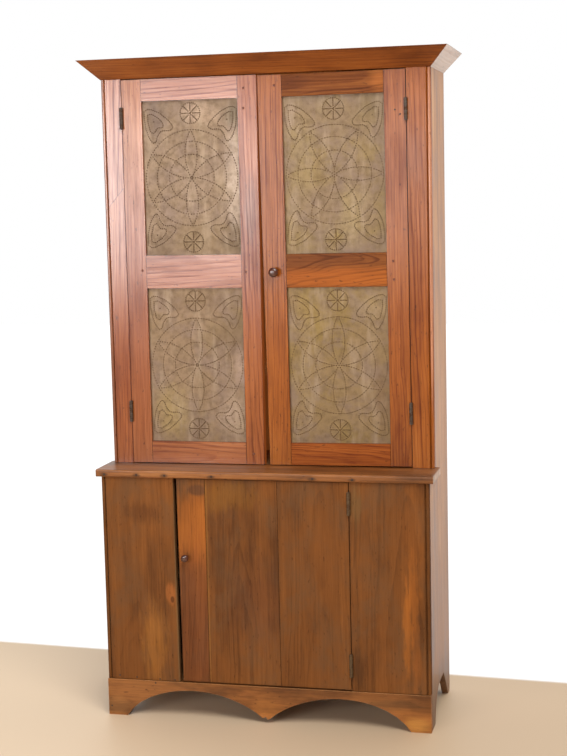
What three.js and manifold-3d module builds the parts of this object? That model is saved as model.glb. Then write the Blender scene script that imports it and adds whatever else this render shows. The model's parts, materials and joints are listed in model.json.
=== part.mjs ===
// A step-back pie safe in old heart pine, built in one case.
// Upper part: two framed doors with punched tins. Lower part: a plank front with one door.
// Millimetres, +Z up, the front faces -Y, the floor is z = 0.

import * as THREE from 'three';
import { mergeVertices } from 'three/addons/utils/BufferGeometryUtils.js';
import Module from 'manifold-3d';

const wasm = await Module();
wasm.setup();

// Case
const totalHeight = 2070;
const caseWidth = 1040;
const lowerDepth = 419;
const stepBack = 125;
const sideThickness = 20;
const frontThickness = 20;
const topThickness = 18;
const topDrop = 19;
const backThickness = 13;
const backRabbet = 10;
const backBoardLap = 8;
const backBoardCount = 3;
const backBoardLift = 25;

// Waist board
const waistTop = 797;
const waistThickness = 23;
const waistFrontOverhang = 10;
const waistSideOverhang = 14;
const waistEarLap = 6.5;
const waistNoseRadius = 5;

// Cornice, a flat board sprung outwards at 45 degrees
const corniceRise = 59;
const corniceRun = 59;
const corniceThickness = 20;

// Skirt and feet
const skirtHeight = 118;
const skirtThickness = 24;
const skirtFootWidth = 62;
const skirtArchHeight = 92.5;
const skirtDropWidth = 26;
const skirtDropChip = 4.5;
const skirtDropLift = 13;
const sideArchHeight = 103;
const backFootChamfer = 9;

// Shelves
const shelfThickness = 18;
const bottomThickness = 20;
const shelfGroove = 7;
const bottomLift = 106;
const upperShelfSetback = 27;
const lowerShelfSetback = 62;
const upperShelfShares = [0.2451, 0.4951, 0.7427];
const lowerShelfHeight = 330;

// Corner bead on the face stiles and front boards
const beadRadius = 5.5;
const quirkWidth = 3;

// Upper doors
const leftFaceStileWidth = 65.5;
const rightFaceStileWidth = 73.5;
const doorThickness = 22;
const doorTopGap = 2.5;
const doorBottomGap = 2;
const hingeGap = 2;
const meetingGap = 7;
const leftDoorShare = 0.49;
const leftHingeStileWidth = 64;
const leftMeetingStileWidth = 61;
const rightHingeStileWidth = 66;
const rightMeetingStileWidth = 72;
const topRailHeight = 67.5;
const middleRailHeight = 104;
const bottomRailHeight = 70;
const upperTinShare = 0.496;
const rightDoorSag = THREE.MathUtils.degToRad(0.3);

// How far each meeting edge was planed past its stile's width: at the top, at the bottom,
// and from the front arris to the back one
const leftMeetingEdge = { topGrowth: 0, bottomGrowth: -2.8, bevel: 2 };
const rightMeetingEdge = { topGrowth: 3, bottomGrowth: -3.2, bevel: 0 };

// Scarf joint of the left face stile, over the stile's width
const spliceShare = 0.6405;
const spliceRise = 74;

// Door joinery
const lipThickness = 9;
const tinRabbet = 12;
const tenonThickness = 7;
const tenonLength = 30;
const tenonShoulder = 6;
const tinThickness = 0.6;
const punchWidth = 2.6;

// Lower door and its front boards
const leftFrontBoardWidth = 241;
const rightFrontBoardWidth = 245;
const latchGap = 10.5;
const latchEdgeLean = 4.5;
const lowerDoorTopGap = 2;
const lowerDoorBottomGap = 4;
const lowerBoardShares = [0.412, 0.426, 0.162];
const battenThickness = 20;
const battenWidth = 95;
const battenInset = 14;
const battenChamfer = 5;

// Butt hinges
const knuckleRadius = 5.5;
const knuckleCount = 5;
const pinRadius = 2.5;
const pinClearance = 0.4;
const pinTip = 1.5;
const leafThickness = 2;
const leafWidth = 18;
const hingeProud = 0.5;
const upperHingeLength = 66;
const lowerHingeLength = 71;
const upperHingeDrop = 118.5;
const upperHingeRise = 166;
const lowerHingeDrop = 65;
const lowerHingeRise = 78;

// Knobs and the wooden turns behind them
const shankRadius = 4.5;
const shankSides = 16;
const turnWidth = 18;
const turnThickness = 9;
const turnTail = 13;
const shankEnd = 2;
const upperKnob = { radius: 15.5, projection: 31, reach: 74 };
const upperKnobDrop = 2.8;
const lowerKnob = { radius: 12, projection: 26, reach: 60 };
const lowerKnobRiseShare = 0.617;
const lowerKnobInset = 21.5;

// Gaps between neighbouring pieces, and the overrun of cutting shapes
const fit = 0.3;
const turnGap = 0.4;
const overrun = 5;

// Working values
const halfWidth = caseWidth / 2;
const insideHalf = halfWidth - sideThickness;
const corniceBottom = totalHeight - corniceRise;
const caseTop = totalHeight - topDrop;
const sideTop = caseTop - topThickness;
const waistBottom = waistTop - waistThickness;
const upperFront = stepBack;
const sideFront = frontThickness;
const upperSideFront = upperFront + frontThickness;
const backInner = lowerDepth - backThickness;
const axisOffset = knuckleRadius + hingeProud;
const backFace = lowerDepth;
const originDepth = (backFace - lowerKnob.projection) / 2;

const materials = {
  cornice: wood('#8a4a24', 0.45),
  upperPine: wood('#a5613a', 0.42),
  lowerPine: wood('#7a4b2b', 0.5),
  insidePine: wood('#8b6a48', 0.75),
  iron: metal('#4a443e', 0.55, 0.8),
  tin: metal('#857a5c', 0.6, 0.7),
  knob: wood('#4a2a18', 0.35),
};

function wood(color, roughness) {
  return new THREE.MeshStandardMaterial({ color, roughness, metalness: 0 });
}

function metal(color, roughness, metalness) {
  return new THREE.MeshStandardMaterial({ color, roughness, metalness });
}

// A box between two corners given as [x, y, z], in either order.
function block(a, b) {
  const low = a.map((value, i) => Math.min(value, b[i]));
  const high = a.map((value, i) => Math.max(value, b[i]));
  const geometry = new THREE.BoxGeometry(high[0] - low[0], high[1] - low[1], high[2] - low[2]);
  geometry.translate((low[0] + high[0]) / 2, (low[1] + high[1]) / 2, (low[2] + high[2]) / 2);
  return geometry;
}

function shapeOf(points) {
  return new THREE.Shape(points.map(([u, v]) => new THREE.Vector2(u, v)));
}

function sweep(shape, depth, curveSegments) {
  return new THREE.ExtrudeGeometry(shape, { depth, bevelEnabled: false, curveSegments });
}

// Extrudes a shape drawn in (x, y) from z0 to z1.
function alongZ(shape, z0, z1, curveSegments = 6) {
  return sweep(shape, z1 - z0, curveSegments).translate(0, 0, z0);
}

// Extrudes a shape drawn in (y, z) from x0 to x1.
function alongX(shape, x0, x1, curveSegments = 6) {
  const turn = new THREE.Matrix4().makeBasis(
    new THREE.Vector3(0, 1, 0),
    new THREE.Vector3(0, 0, 1),
    new THREE.Vector3(1, 0, 0),
  );
  return sweep(shape, x1 - x0, curveSegments).applyMatrix4(turn).translate(x0, 0, 0);
}

// Extrudes a shape drawn in (x, z) from y0 to y1.
function alongY(shape, y0, y1, curveSegments = 6) {
  const turn = new THREE.Matrix4().makeBasis(
    new THREE.Vector3(1, 0, 0),
    new THREE.Vector3(0, 0, 1),
    new THREE.Vector3(0, -1, 0),
  );
  return sweep(shape, y1 - y0, curveSegments).applyMatrix4(turn).translate(0, y1, 0);
}

// A cylinder along z between two heights.
function post(radius, z0, z1, sides = 10) {
  const geometry = new THREE.CylinderGeometry(radius, radius, z1 - z0, sides);
  return geometry.rotateX(Math.PI / 2).translate(0, 0, (z0 + z1) / 2);
}

// A solid with flat faces between four corners and four more, both in the same order.
function sixFaced(corners) {
  const faces = [[0, 1, 2], [0, 2, 3], [4, 6, 5], [4, 7, 6]];
  for (let i = 0; i < 4; i += 1) {
    const next = (i + 1) % 4;
    faces.push([i, i + 4, next + 4], [i, next + 4, next]);
  }
  const geometry = new THREE.BufferGeometry();
  const positions = faces.flatMap((face) => face.flatMap((corner) => corners[corner]));
  geometry.setAttribute('position', new THREE.Float32BufferAttribute(positions, 3));
  geometry.computeVertexNormals();
  return geometry;
}

function toSolid(geometry) {
  const bare = geometry.clone();
  bare.deleteAttribute('normal');
  bare.deleteAttribute('uv');
  const merged = mergeVertices(bare);
  return new wasm.Manifold(new wasm.Mesh({
    numProp: 3,
    vertProperties: new Float32Array(merged.attributes.position.array),
    triVerts: new Uint32Array(merged.index.array),
  }));
}

function toGeometry(solid) {
  const mesh = solid.getMesh();
  const geometry = new THREE.BufferGeometry();
  geometry.setAttribute('position', new THREE.BufferAttribute(new Float32Array(mesh.vertProperties), 3));
  geometry.setIndex(new THREE.BufferAttribute(new Uint32Array(mesh.triVerts), 1));
  geometry.computeVertexNormals();
  return geometry;
}

function cut(geometry, cutters) {
  let solid = toSolid(geometry);
  for (const cutter of cutters) solid = solid.subtract(toSolid(cutter));
  return toGeometry(solid);
}

function join(geometries) {
  let solid = toSolid(geometries[0]);
  for (const other of geometries.slice(1)) solid = solid.add(toSolid(other));
  return toGeometry(solid);
}

function common(a, b) {
  return toGeometry(toSolid(a).intersect(toSolid(b)));
}

function piece(parent, name, geometry, material) {
  const mesh = new THREE.Mesh(geometry, material);
  mesh.name = name;
  parent.add(mesh);
  return mesh;
}

// Shelf tops and undersides. The upper shelves share out the room between waist and top.
function upperShelves() {
  return upperShelfShares.map((share) => {
    const top = waistTop + (sideTop - waistTop) * share;
    return { top, bottom: top - shelfThickness, front: upperSideFront + upperShelfSetback };
  });
}

function lowerShelf() {
  const top = bottomLift + bottomThickness + lowerShelfHeight;
  return { top, bottom: top - shelfThickness, front: lowerShelfSetback };
}

function waistShelf() {
  return { top: waistTop, bottom: waistTop - bottomThickness, front: upperSideFront + waistEarLap + fit };
}

function bottomShelf() {
  return { top: bottomLift + bottomThickness, bottom: bottomLift, front: sideFront + fit };
}

function allShelves() {
  return [...upperShelves(), lowerShelf(), waistShelf(), bottomShelf()];
}

// Side board outline in (y, z): the step at the waist and the arch between two feet.
function sideShape() {
  const frontFootShare = 0.19;
  const archFlatStartShare = 0.485;
  const archFlatEndShare = 0.67;
  const backFootShare = 0.907;
  const archEase = { lowShare: 0.6, lowReachShare: 0.05, highReachShare: 0.31 };
  const shape = new THREE.Shape();
  shape.moveTo(sideFront + fit, 0);
  shape.lineTo(lowerDepth * frontFootShare, 0);
  shape.bezierCurveTo(
    lowerDepth * (frontFootShare + archEase.lowReachShare), sideArchHeight * archEase.lowShare,
    lowerDepth * archEase.highReachShare, sideArchHeight,
    lowerDepth * archFlatStartShare, sideArchHeight,
  );
  shape.lineTo(lowerDepth * archFlatEndShare, sideArchHeight);
  shape.lineTo(lowerDepth * backFootShare, 0);
  shape.lineTo(backFace - backFootChamfer, 0);
  shape.lineTo(backFace, backFootChamfer);
  shape.lineTo(backFace, sideTop);
  shape.lineTo(upperSideFront + fit, sideTop);
  shape.lineTo(upperSideFront + fit, waistBottom - fit);
  shape.lineTo(sideFront + fit, waistBottom - fit);
  shape.closePath();
  return shape;
}

function sideBoard(sign) {
  const inner = sign * insideHalf;
  const outer = sign * halfWidth;
  const board = alongX(sideShape(), Math.min(inner, outer), Math.max(inner, outer), 5);
  const grooves = allShelves().map(({ top, bottom, front }) => block(
    [inner - sign * overrun, front - fit, bottom - fit],
    [inner + sign * shelfGroove, backInner, top + fit],
  ));
  const rabbet = block(
    [inner - sign * overrun, backInner - fit, -overrun],
    [inner + sign * backRabbet, backFace + overrun, sideTop + overrun],
  );
  return cut(board, [...grooves, rabbet]);
}

function shelfBoard({ top, bottom, front }) {
  const reach = insideHalf + shelfGroove - fit;
  return block([-reach, front, bottom], [reach, backInner - 2 * fit, top]);
}

// Plan section of a board whose outer front corner carries a bead between two quirks.
// u runs from the inner edge to the outer edge, v from the front face to the back.
function beadedSection(width, thickness) {
  const arcSteps = 8;
  const points = [[0, 0], [width - 2 * beadRadius - quirkWidth, 0]];
  for (let step = 0; step <= arcSteps; step += 1) {
    const angle = Math.PI - (step / arcSteps) * 1.5 * Math.PI;
    points.push([
      width - beadRadius + beadRadius * Math.cos(angle),
      beadRadius - beadRadius * Math.sin(angle),
    ]);
  }
  points.push([width, 2 * beadRadius + quirkWidth], [width, thickness], [0, thickness]);
  return points;
}

// A beaded upright at one side of the front; its inner edge may lean by a taper.
function beadedUpright(sign, width, front, z0, z1, leanAt = () => 0) {
  const section = beadedSection(width, frontThickness);
  const plan = section.map(([u, v]) => [sign * (halfWidth - width + u), front + v]);
  const geometry = alongZ(shapeOf(sign > 0 ? plan : plan.reverse()), z0, z1);
  const position = geometry.attributes.position;
  const innerX = sign * (halfWidth - width);
  const tolerance = fit / 10;
  for (let i = 0; i < position.count; i += 1) {
    if (Math.abs(position.getX(i) - innerX) < tolerance) {
      position.setX(i, innerX + leanAt(position.getZ(i)));
    }
  }
  return geometry;
}

// Butt hinge

// Heights of the knuckles that belong to one half, from the bottom of the barrel.
function knuckleSpans(length, forFrame) {
  const step = length / knuckleCount;
  const spans = [];
  for (let i = forFrame ? 0 : 1; i < knuckleCount; i += 2) {
    spans.push([-length / 2 + i * step + fit / 2, -length / 2 + (i + 1) * step - fit / 2]);
  }
  return spans;
}

// One leaf with its knuckles, about an axis on z at the origin. side is +1 or -1 along x.
function hingeLeaf(side, length, forFrame) {
  const inner = side * (hingeGap / 2);
  const outer = side * (hingeGap / 2 + leafThickness);
  const rootY = knuckleRadius + fit;
  const parts = [block([inner, rootY, -length / 2], [outer, axisOffset + leafWidth, length / 2])];
  for (const [low, high] of knuckleSpans(length, forFrame)) {
    parts.push(post(knuckleRadius, low, high));
    parts.push(block([inner, 0, low], [outer, rootY + fit, high]));
  }
  if (forFrame) {
    parts.push(post(pinRadius, -length / 2 - pinTip, length / 2 + pinTip, 8));
    return join(parts);
  }
  const bore = post(pinRadius + pinClearance, -length / 2 - overrun, length / 2 + overrun);
  return cut(join(parts), [bore]);
}

// The recess that lets a leaf into the edge of a board.
function hingeGain(side, length) {
  return block(
    [side * (hingeGap / 2 - overrun), axisOffset - overrun, -length / 2 - fit],
    [side * (hingeGap / 2 + leafThickness + fit), axisOffset + leafWidth + fit, length / 2 + fit],
  );
}

// Where the tins' sight openings end, by the rails' heights.
function sightHeights({ top, bottom }) {
  const tinRoom = top - bottom - topRailHeight - middleRailHeight - bottomRailHeight;
  const upperSightLow = top - topRailHeight - tinRoom * upperTinShare;
  return {
    upperSightLow,
    lowerSightHigh: upperSightLow - middleRailHeight,
    lowerSightLow: bottom + bottomRailHeight,
  };
}

// Meeting stile before its joints are cut, with its outer edge planed to fit.
function meetingStileBlank({ side, bottom, top, meetingEdge }, near, far, face, back) {
  const level = (growth, z) => [
    [side * near, face, z],
    [side * (far + growth), face, z],
    [side * (far + growth + meetingEdge.bevel), back, z],
    [side * near, back, z],
  ];
  const low = level(meetingEdge.bottomGrowth, bottom);
  const high = level(meetingEdge.topGrowth, top);
  return sixFaced(side > 0 ? [...high, ...low] : [...low, ...high]);
}

// Framed door with two tins. Its group stands on the hinge axis at the upper hinge's middle;
// side is +1 when the door reaches towards +x.
function doorFrame(name, parent, door) {
  const { side, width, hingeStile, meetingStile, top, bottom, lowerHinge } = door;
  const face = axisOffset;
  const back = face + doorThickness;
  const lip = face + lipThickness;
  const edge = hingeGap / 2;
  const sightNear = edge + hingeStile;
  const sightFar = edge + width - meetingStile;
  const slab = (near, far, y0, y1, z0, z1) => block([side * near, y0, z0], [side * far, y1, z1]);
  const { upperSightLow, lowerSightHigh, lowerSightLow } = sightHeights(door);
  const rails = [
    { key: 'top_rail', low: top - topRailHeight, high: top, cutLow: true, cutHigh: false },
    { key: 'middle_rail', low: lowerSightHigh, high: upperSightLow, cutLow: true, cutHigh: true },
    { key: 'bottom_rail', low: bottom, high: lowerSightLow, cutLow: false, cutHigh: true },
  ];

  const tenonSpan = ({ low, high, cutLow, cutHigh }) => [
    low + (cutLow ? tinRabbet : 0) + tenonShoulder,
    high - (cutHigh ? tinRabbet : 0) - tenonShoulder,
  ];
  const tenonBack = lip + tenonThickness;

  // The knob's shank passes through the meeting stile and the middle rail's tenon.
  const knobHoles = [];
  if (door.knobReach) {
    const hole = post(shankRadius + fit, face - overrun, back + overrun, shankSides).rotateX(-Math.PI / 2);
    knobHoles.push(hole.translate(side * door.knobReach, 0, door.knobHeight));
  }

  for (const rail of rails) {
    const [tenonLow, tenonHigh] = tenonSpan(rail);
    const rearLow = rail.low + (rail.cutLow ? tinRabbet : 0);
    const rearHigh = rail.high - (rail.cutHigh ? tinRabbet : 0);
    const rearNear = sightNear - tinRabbet + fit;
    const rearFar = sightFar + tinRabbet - fit;
    const overlap = tenonThickness / 2;
    const solid = join([
      slab(sightNear + fit, sightFar - fit, face, lip + overlap, rearLow, rearHigh),
      slab(sightNear + fit, sightFar - fit, face, lip, rail.low, rail.high),
      slab(rearNear, rearFar, lip + fit, back, rearLow, rearHigh),
      slab(rearNear - tenonLength, rearFar + tenonLength, lip + fit, tenonBack, tenonLow, tenonHigh),
    ]);
    piece(parent, `${name}_${rail.key}`, cut(solid, knobHoles), materials.upperPine);
  }

  const mortises = (near, far) => rails.map((rail) => {
    const [low, high] = tenonSpan(rail);
    return slab(near, far, lip, tenonBack + fit, low - fit, high + fit);
  });

  const hingeStileSolid = cut(slab(edge, sightNear, face, back, bottom, top), [
    slab(sightNear - tinRabbet, sightNear + overrun, lip, back + overrun, bottom - overrun, top + overrun),
    ...mortises(sightNear - tinRabbet - tenonLength - fit, sightNear),
    hingeGain(side, upperHingeLength),
    hingeGain(side, upperHingeLength).translate(0, 0, lowerHinge),
  ]);
  piece(parent, `${name}_hinge_stile`, hingeStileSolid, materials.upperPine);

  const stileCuts = [
    slab(sightFar - overrun, sightFar + tinRabbet, lip, back + overrun, bottom - overrun, top + overrun),
    ...mortises(sightFar, sightFar + tinRabbet + tenonLength + fit),
    ...knobHoles,
  ];
  const blank = meetingStileBlank(door, sightFar, edge + width, face, back);
  piece(parent, `${name}_meeting_stile`, cut(blank, stileCuts), materials.upperPine);

  const tins = [
    { key: 'upper_tin', low: upperSightLow, high: top - topRailHeight, turned: door.upperTinTurned },
    { key: 'lower_tin', low: lowerSightLow, high: lowerSightHigh, turned: false },
  ];
  for (const tin of tins) {
    const sightWidth = sightFar - sightNear;
    const sheet = punchedTin(sightWidth, tin.high - tin.low, tin.turned);
    const mesh = piece(parent, `${name}_${tin.key}`, sheet, materials.tin);
    mesh.position.set(side * (sightNear + sightFar) / 2, lip + fit, (tin.low + tin.high) / 2);
  }
}

// Punched tin: a sheet with the pattern cut as short runs

// One straight run of the punch between two points, as a four-cornered hole.
function punchRun(ax, ay, bx, by) {
  const length = Math.hypot(bx - ax, by - ay);
  const nx = ((ay - by) / length) * (punchWidth / 2);
  const ny = ((bx - ax) / length) * (punchWidth / 2);
  const path = new THREE.Path();
  path.moveTo(ax + nx, ay + ny);
  path.lineTo(ax - nx, ay - ny);
  path.lineTo(bx - nx, by - ny);
  path.lineTo(bx + nx, by + ny);
  path.closePath();
  return path;
}

// A run between two angles, in degrees, of a circle.
function arcRun(cx, cy, radius, from, to) {
  const a = THREE.MathUtils.degToRad(from);
  const b = THREE.MathUtils.degToRad(to);
  return punchRun(
    cx + radius * Math.cos(a), cy + radius * Math.sin(a),
    cx + radius * Math.cos(b), cy + radius * Math.sin(b),
  );
}

// Three rings and a six-petalled compass flower. Runs stop short of every crossing.
function flowerRuns(radius, startAngle) {
  const middleRingShare = 0.757;
  const innerRingShare = 0.487;
  const runs = [];
  for (let petal = 0; petal < 6; petal += 1) {
    const tip = startAngle + petal * 60;
    for (const middle of [0, 20, 40]) {
      runs.push(arcRun(0, 0, radius, tip + middle - 8, tip + middle + 8));
    }
    for (const middle of [20.5, 39.5]) {
      runs.push(arcRun(0, 0, radius * middleRingShare, tip + middle - 7.5, tip + middle + 7.5));
    }
    runs.push(arcRun(0, 0, radius * innerRingShare, tip + 22, tip + 38));
    const cx = radius * Math.cos(THREE.MathUtils.degToRad(tip));
    const cy = radius * Math.sin(THREE.MathUtils.degToRad(tip));
    for (const [near, far] of [[10, 25], [33, 57]]) {
      runs.push(arcRun(cx, cy, radius, tip + 180 - far, tip + 180 - near));
      runs.push(arcRun(cx, cy, radius, tip + 180 + near, tip + 180 + far));
    }
  }
  return runs;
}

// Small rosette. One spoke stands nearly straight up: the punch was set by eye.
function rosetteRuns(cx, cy, radius) {
  const spokeCount = 8;
  const hubShare = 0.3;
  const leanDegrees = 1.3;
  const runs = [];
  for (let i = 0; i < spokeCount; i += 1) {
    const angle = (i / spokeCount) * 2 * Math.PI + THREE.MathUtils.degToRad(leanDegrees);
    const [dx, dy] = [Math.cos(angle), Math.sin(angle)];
    runs.push(punchRun(
      cx + dx * radius * hubShare, cy + dy * radius * hubShare,
      cx + dx * radius, cy + dy * radius,
    ));
  }
  return runs;
}

// Heart in one corner: its point looks to the corner and its lobes to the middle.
function heartRuns(cornerX, cornerY, size) {
  const outlineShares = [
    [[0.18, 0.2], [0.56, 0.39]],
    [[0.61, 0.44], [0.74, 0.6]],
    [[0.71, 0.69], [0.49, 0.71]],
    [[0.42, 0.75], [0.33, 0.95]],
    [[0.24, 0.98], [0.1, 0.73]],
    [[0.076, 0.67], [0.052, 0.3]],
  ];
  const [sx, sy] = [-Math.sign(cornerX), -Math.sign(cornerY)];
  return outlineShares.map(([[ax, ay], [bx, by]]) => punchRun(
    cornerX + sx * ax * size, cornerY + sy * ay * size,
    cornerX + sx * bx * size, cornerY + sy * by * size,
  ));
}

// The pattern's unit is the sight's width, or less where the height leaves less room.
function punchedTin(sightWidth, sightHeight, turned) {
  const roomShare = 0.66;
  const unit = Math.min(sightWidth, sightHeight * roomShare);
  const halfW = sightWidth / 2 + tinRabbet - 2 * fit;
  const halfH = sightHeight / 2 + tinRabbet - 2 * fit;
  const flowerShare = 0.478;
  const rosetteShare = 0.1;
  const rosetteDropShare = 0.131;
  const heartShare = 0.42;
  const sheet = shapeOf([[-halfW, -halfH], [halfW, -halfH], [halfW, halfH], [-halfW, halfH]]);
  sheet.holes.push(...flowerRuns(unit * flowerShare, turned ? 0 : 90));
  for (const end of [-1, 1]) {
    const rosetteY = end * (sightHeight / 2 - unit * rosetteDropShare);
    sheet.holes.push(...rosetteRuns(0, rosetteY, unit * rosetteShare));
    for (const flank of [-1, 1]) {
      const corner = [flank * sightWidth / 2, end * sightHeight / 2];
      sheet.holes.push(...heartRuns(...corner, unit * heartShare));
    }
  }
  return alongY(sheet, 0, tinThickness);
}

// Knob and turn

// Turned knob with its shank; the axis lies on y and the head looks to -y.
function turnedKnob(knob, throughThickness) {
  const { radius, projection } = knob;
  const shankLength = throughThickness + turnGap + turnThickness + shankEnd;
  const profileShares = [
    [0.56, 0], [0.56, 0.1], [0.38, 0.2], [0.36, 0.36], [0.7, 0.46], [0.97, 0.6],
    [1, 0.72], [0.9, 0.86], [0.55, 0.97], [0, 1],
  ];
  const points = [
    new THREE.Vector2(0, -shankLength),
    new THREE.Vector2(shankRadius, -shankLength),
    new THREE.Vector2(shankRadius, fit),
    ...profileShares.map(([r, h]) => new THREE.Vector2(radius * r, fit + (projection - fit) * h)),
  ];
  return new THREE.LatheGeometry(points, 13).rotateX(Math.PI);
}

// Wooden turn behind the door, hanging straight down from its shank.
function woodenTurn(reach) {
  const shape = new THREE.Shape();
  const half = turnWidth / 2;
  shape.moveTo(-half, -reach + half);
  shape.quadraticCurveTo(0, -reach - half / 2, half, -reach + half);
  shape.lineTo(half, turnTail - half / 2);
  shape.quadraticCurveTo(0, turnTail + half / 2, -half, turnTail - half / 2);
  shape.closePath();
  const hole = new THREE.Path();
  hole.absarc(0, 0, shankRadius + fit, 0, 2 * Math.PI, true);
  shape.holes.push(hole);
  return alongY(shape, 0, turnThickness, 5);
}

// The case

const pieSafe = new THREE.Group();
const cabinet = new THREE.Group();
cabinet.position.y = -originDepth;
pieSafe.add(cabinet);

piece(cabinet, 'side_left', sideBoard(-1), materials.upperPine);
piece(cabinet, 'side_right', sideBoard(1), materials.upperPine);

upperShelves().forEach((shelf, i) => {
  piece(cabinet, `upper_shelf_${i + 1}`, shelfBoard(shelf), materials.insidePine);
});
piece(cabinet, 'lower_shelf', shelfBoard(lowerShelf()), materials.insidePine);
piece(cabinet, 'waist_shelf', shelfBoard(waistShelf()), materials.insidePine);
piece(cabinet, 'bottom_board', shelfBoard(bottomShelf()), materials.insidePine);

piece(cabinet, 'top_board', block(
  [-halfWidth, upperSideFront + fit, sideTop + fit],
  [halfWidth, backFace, caseTop],
), materials.insidePine);

// Back boards, lapped over each other at half their thickness.
function backBoard(index) {
  const reach = insideHalf + backRabbet - fit;
  const pitch = (2 * reach) / backBoardCount;
  const left = -reach + index * pitch + (index > 0 ? fit : 0);
  const right = -reach + (index + 1) * pitch;
  const halfway = backInner + backThickness / 2;
  const board = block([left, backInner, backBoardLift], [right, backFace, sideTop - fit]);
  const cutters = [];
  if (index > 0) {
    cutters.push(block(
      [left - overrun, backInner - overrun, backBoardLift - overrun],
      [left + backBoardLap, halfway + fit, sideTop + overrun],
    ));
  }
  if (index < backBoardCount - 1) {
    cutters.push(block(
      [right, halfway, backBoardLift - overrun],
      [right + backBoardLap + overrun, backFace + overrun, sideTop + overrun],
    ));
    const tongue = block(
      [right - fit, backInner, backBoardLift],
      [right + backBoardLap - fit, backFace, sideTop - fit],
    );
    return cut(join([board, tongue]), cutters);
  }
  return cut(board, cutters);
}

['left', 'middle', 'right'].forEach((key, index) => {
  piece(cabinet, `back_board_${key}`, backBoard(index), materials.insidePine);
});

// Waist board: the plan with its two ears, met by a side section with a rounded nose.
function waistBoard() {
  const front = -waistFrontOverhang;
  const back = upperSideFront + waistEarLap;
  const ear = halfWidth + waistSideOverhang;
  const notchFront = upperSideFront;
  const notchOuter = halfWidth + fit;
  const notchInner = insideHalf - fit;
  const plan = shapeOf([
    [-ear, front], [ear, front], [ear, back], [notchOuter, back], [notchOuter, notchFront],
    [notchInner, notchFront], [notchInner, back], [-notchInner, back], [-notchInner, notchFront],
    [-notchOuter, notchFront], [-notchOuter, back], [-ear, back],
  ]);
  const nose = new THREE.Shape();
  nose.moveTo(back + overrun, waistBottom);
  nose.lineTo(back + overrun, waistTop);
  nose.lineTo(front + waistNoseRadius, waistTop);
  nose.quadraticCurveTo(front, waistTop, front, waistTop - waistNoseRadius);
  nose.lineTo(front, waistBottom + waistNoseRadius);
  nose.quadraticCurveTo(front, waistBottom, front + waistNoseRadius, waistBottom);
  nose.closePath();
  const slab = alongZ(plan, waistBottom - overrun, waistTop + overrun);
  return common(slab, alongX(nose, -ear - overrun, ear + overrun, 3));
}
piece(cabinet, 'waist_board', waistBoard(), materials.lowerPine);

// Skirt: two arches between the feet, with a short drop in the middle.
function skirtShape() {
  const footInner = halfWidth - skirtFootWidth;
  const dropHalf = skirtDropWidth / 2;
  const span = footInner - dropHalf;
  const apex = dropHalf + span / 2;
  const footEaseShare = 0.085;
  const footEaseHeightShare = 0.65;
  const apexEaseShare = 0.21;
  const dropEaseShare = 0.085;
  const dropEaseHeightShare = 0.49;
  const dropEaseHeight = skirtDropLift + (skirtArchHeight - skirtDropLift) * dropEaseHeightShare;
  const chipShares = [[-1, 1], [-0.5, 0.9], [-0.3, 1.9], [-0.02, 1.2], [0.25, 0], [0.6, 0.1], [1, 0.7]];
  const dropEnd = chipShares.map(([across, up]) => [dropHalf * across, skirtDropLift + skirtDropChip * up]);
  const shape = new THREE.Shape();
  shape.moveTo(-halfWidth, skirtHeight);
  shape.lineTo(-halfWidth, 0);
  shape.lineTo(-footInner, 0);
  shape.bezierCurveTo(
    -footInner + span * footEaseShare, skirtArchHeight * footEaseHeightShare,
    -apex - span * apexEaseShare, skirtArchHeight, -apex, skirtArchHeight,
  );
  shape.bezierCurveTo(
    -apex + span * apexEaseShare, skirtArchHeight,
    -dropHalf - span * dropEaseShare, dropEaseHeight, ...dropEnd[0],
  );
  for (const [x, z] of dropEnd.slice(1)) shape.lineTo(x, z);
  shape.bezierCurveTo(
    dropHalf + span * dropEaseShare, dropEaseHeight,
    apex - span * apexEaseShare, skirtArchHeight, apex, skirtArchHeight,
  );
  shape.bezierCurveTo(
    apex + span * apexEaseShare, skirtArchHeight,
    footInner - span * footEaseShare, skirtArchHeight * footEaseHeightShare, footInner, 0,
  );
  shape.lineTo(halfWidth, 0);
  shape.lineTo(halfWidth, skirtHeight);
  shape.closePath();
  return shape;
}
const skirtBoard = alongY(skirtShape(), frontThickness - skirtThickness, frontThickness, 7);
piece(cabinet, 'skirt', skirtBoard, materials.lowerPine);

// Cornice: the section lies in (distance out, z); both ends of the front meet the returns in a mitre.
function corniceSection() {
  const foot = corniceThickness * Math.hypot(corniceRun, corniceRise) / corniceRun;
  const top = corniceThickness * Math.hypot(corniceRun, corniceRise) / corniceRise;
  return [
    [fit, corniceBottom], [corniceRun, totalHeight],
    [corniceRun - top, totalHeight], [fit, corniceBottom + foot],
  ];
}

// Extrudes the section between two ends; each end maps a distance out to a place along the run.
function corniceRunSolid(place, startAt, endAt) {
  const section = corniceSection();
  const starts = section.map(([out, z]) => place(out, startAt(out), z));
  const ends = section.map(([out, z]) => place(out, endAt(out), z));
  return sixFaced([...starts, ...ends]);
}

const mitreHalf = fit / 2;
piece(cabinet, 'cornice_front', corniceRunSolid(
  (out, along, z) => [along, upperFront - out, z],
  (out) => -halfWidth - out + mitreHalf,
  (out) => halfWidth + out - mitreHalf,
), materials.cornice);
piece(cabinet, 'cornice_right', corniceRunSolid(
  (out, along, z) => [halfWidth + out, along, z],
  (out) => upperFront - out + mitreHalf,
  () => backFace,
), materials.cornice);
piece(cabinet, 'cornice_left', corniceRunSolid(
  (out, along, z) => [-halfWidth - out, along, z],
  () => backFace,
  (out) => upperFront - out + mitreHalf,
), materials.cornice);

// The upper front and its doors

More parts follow.
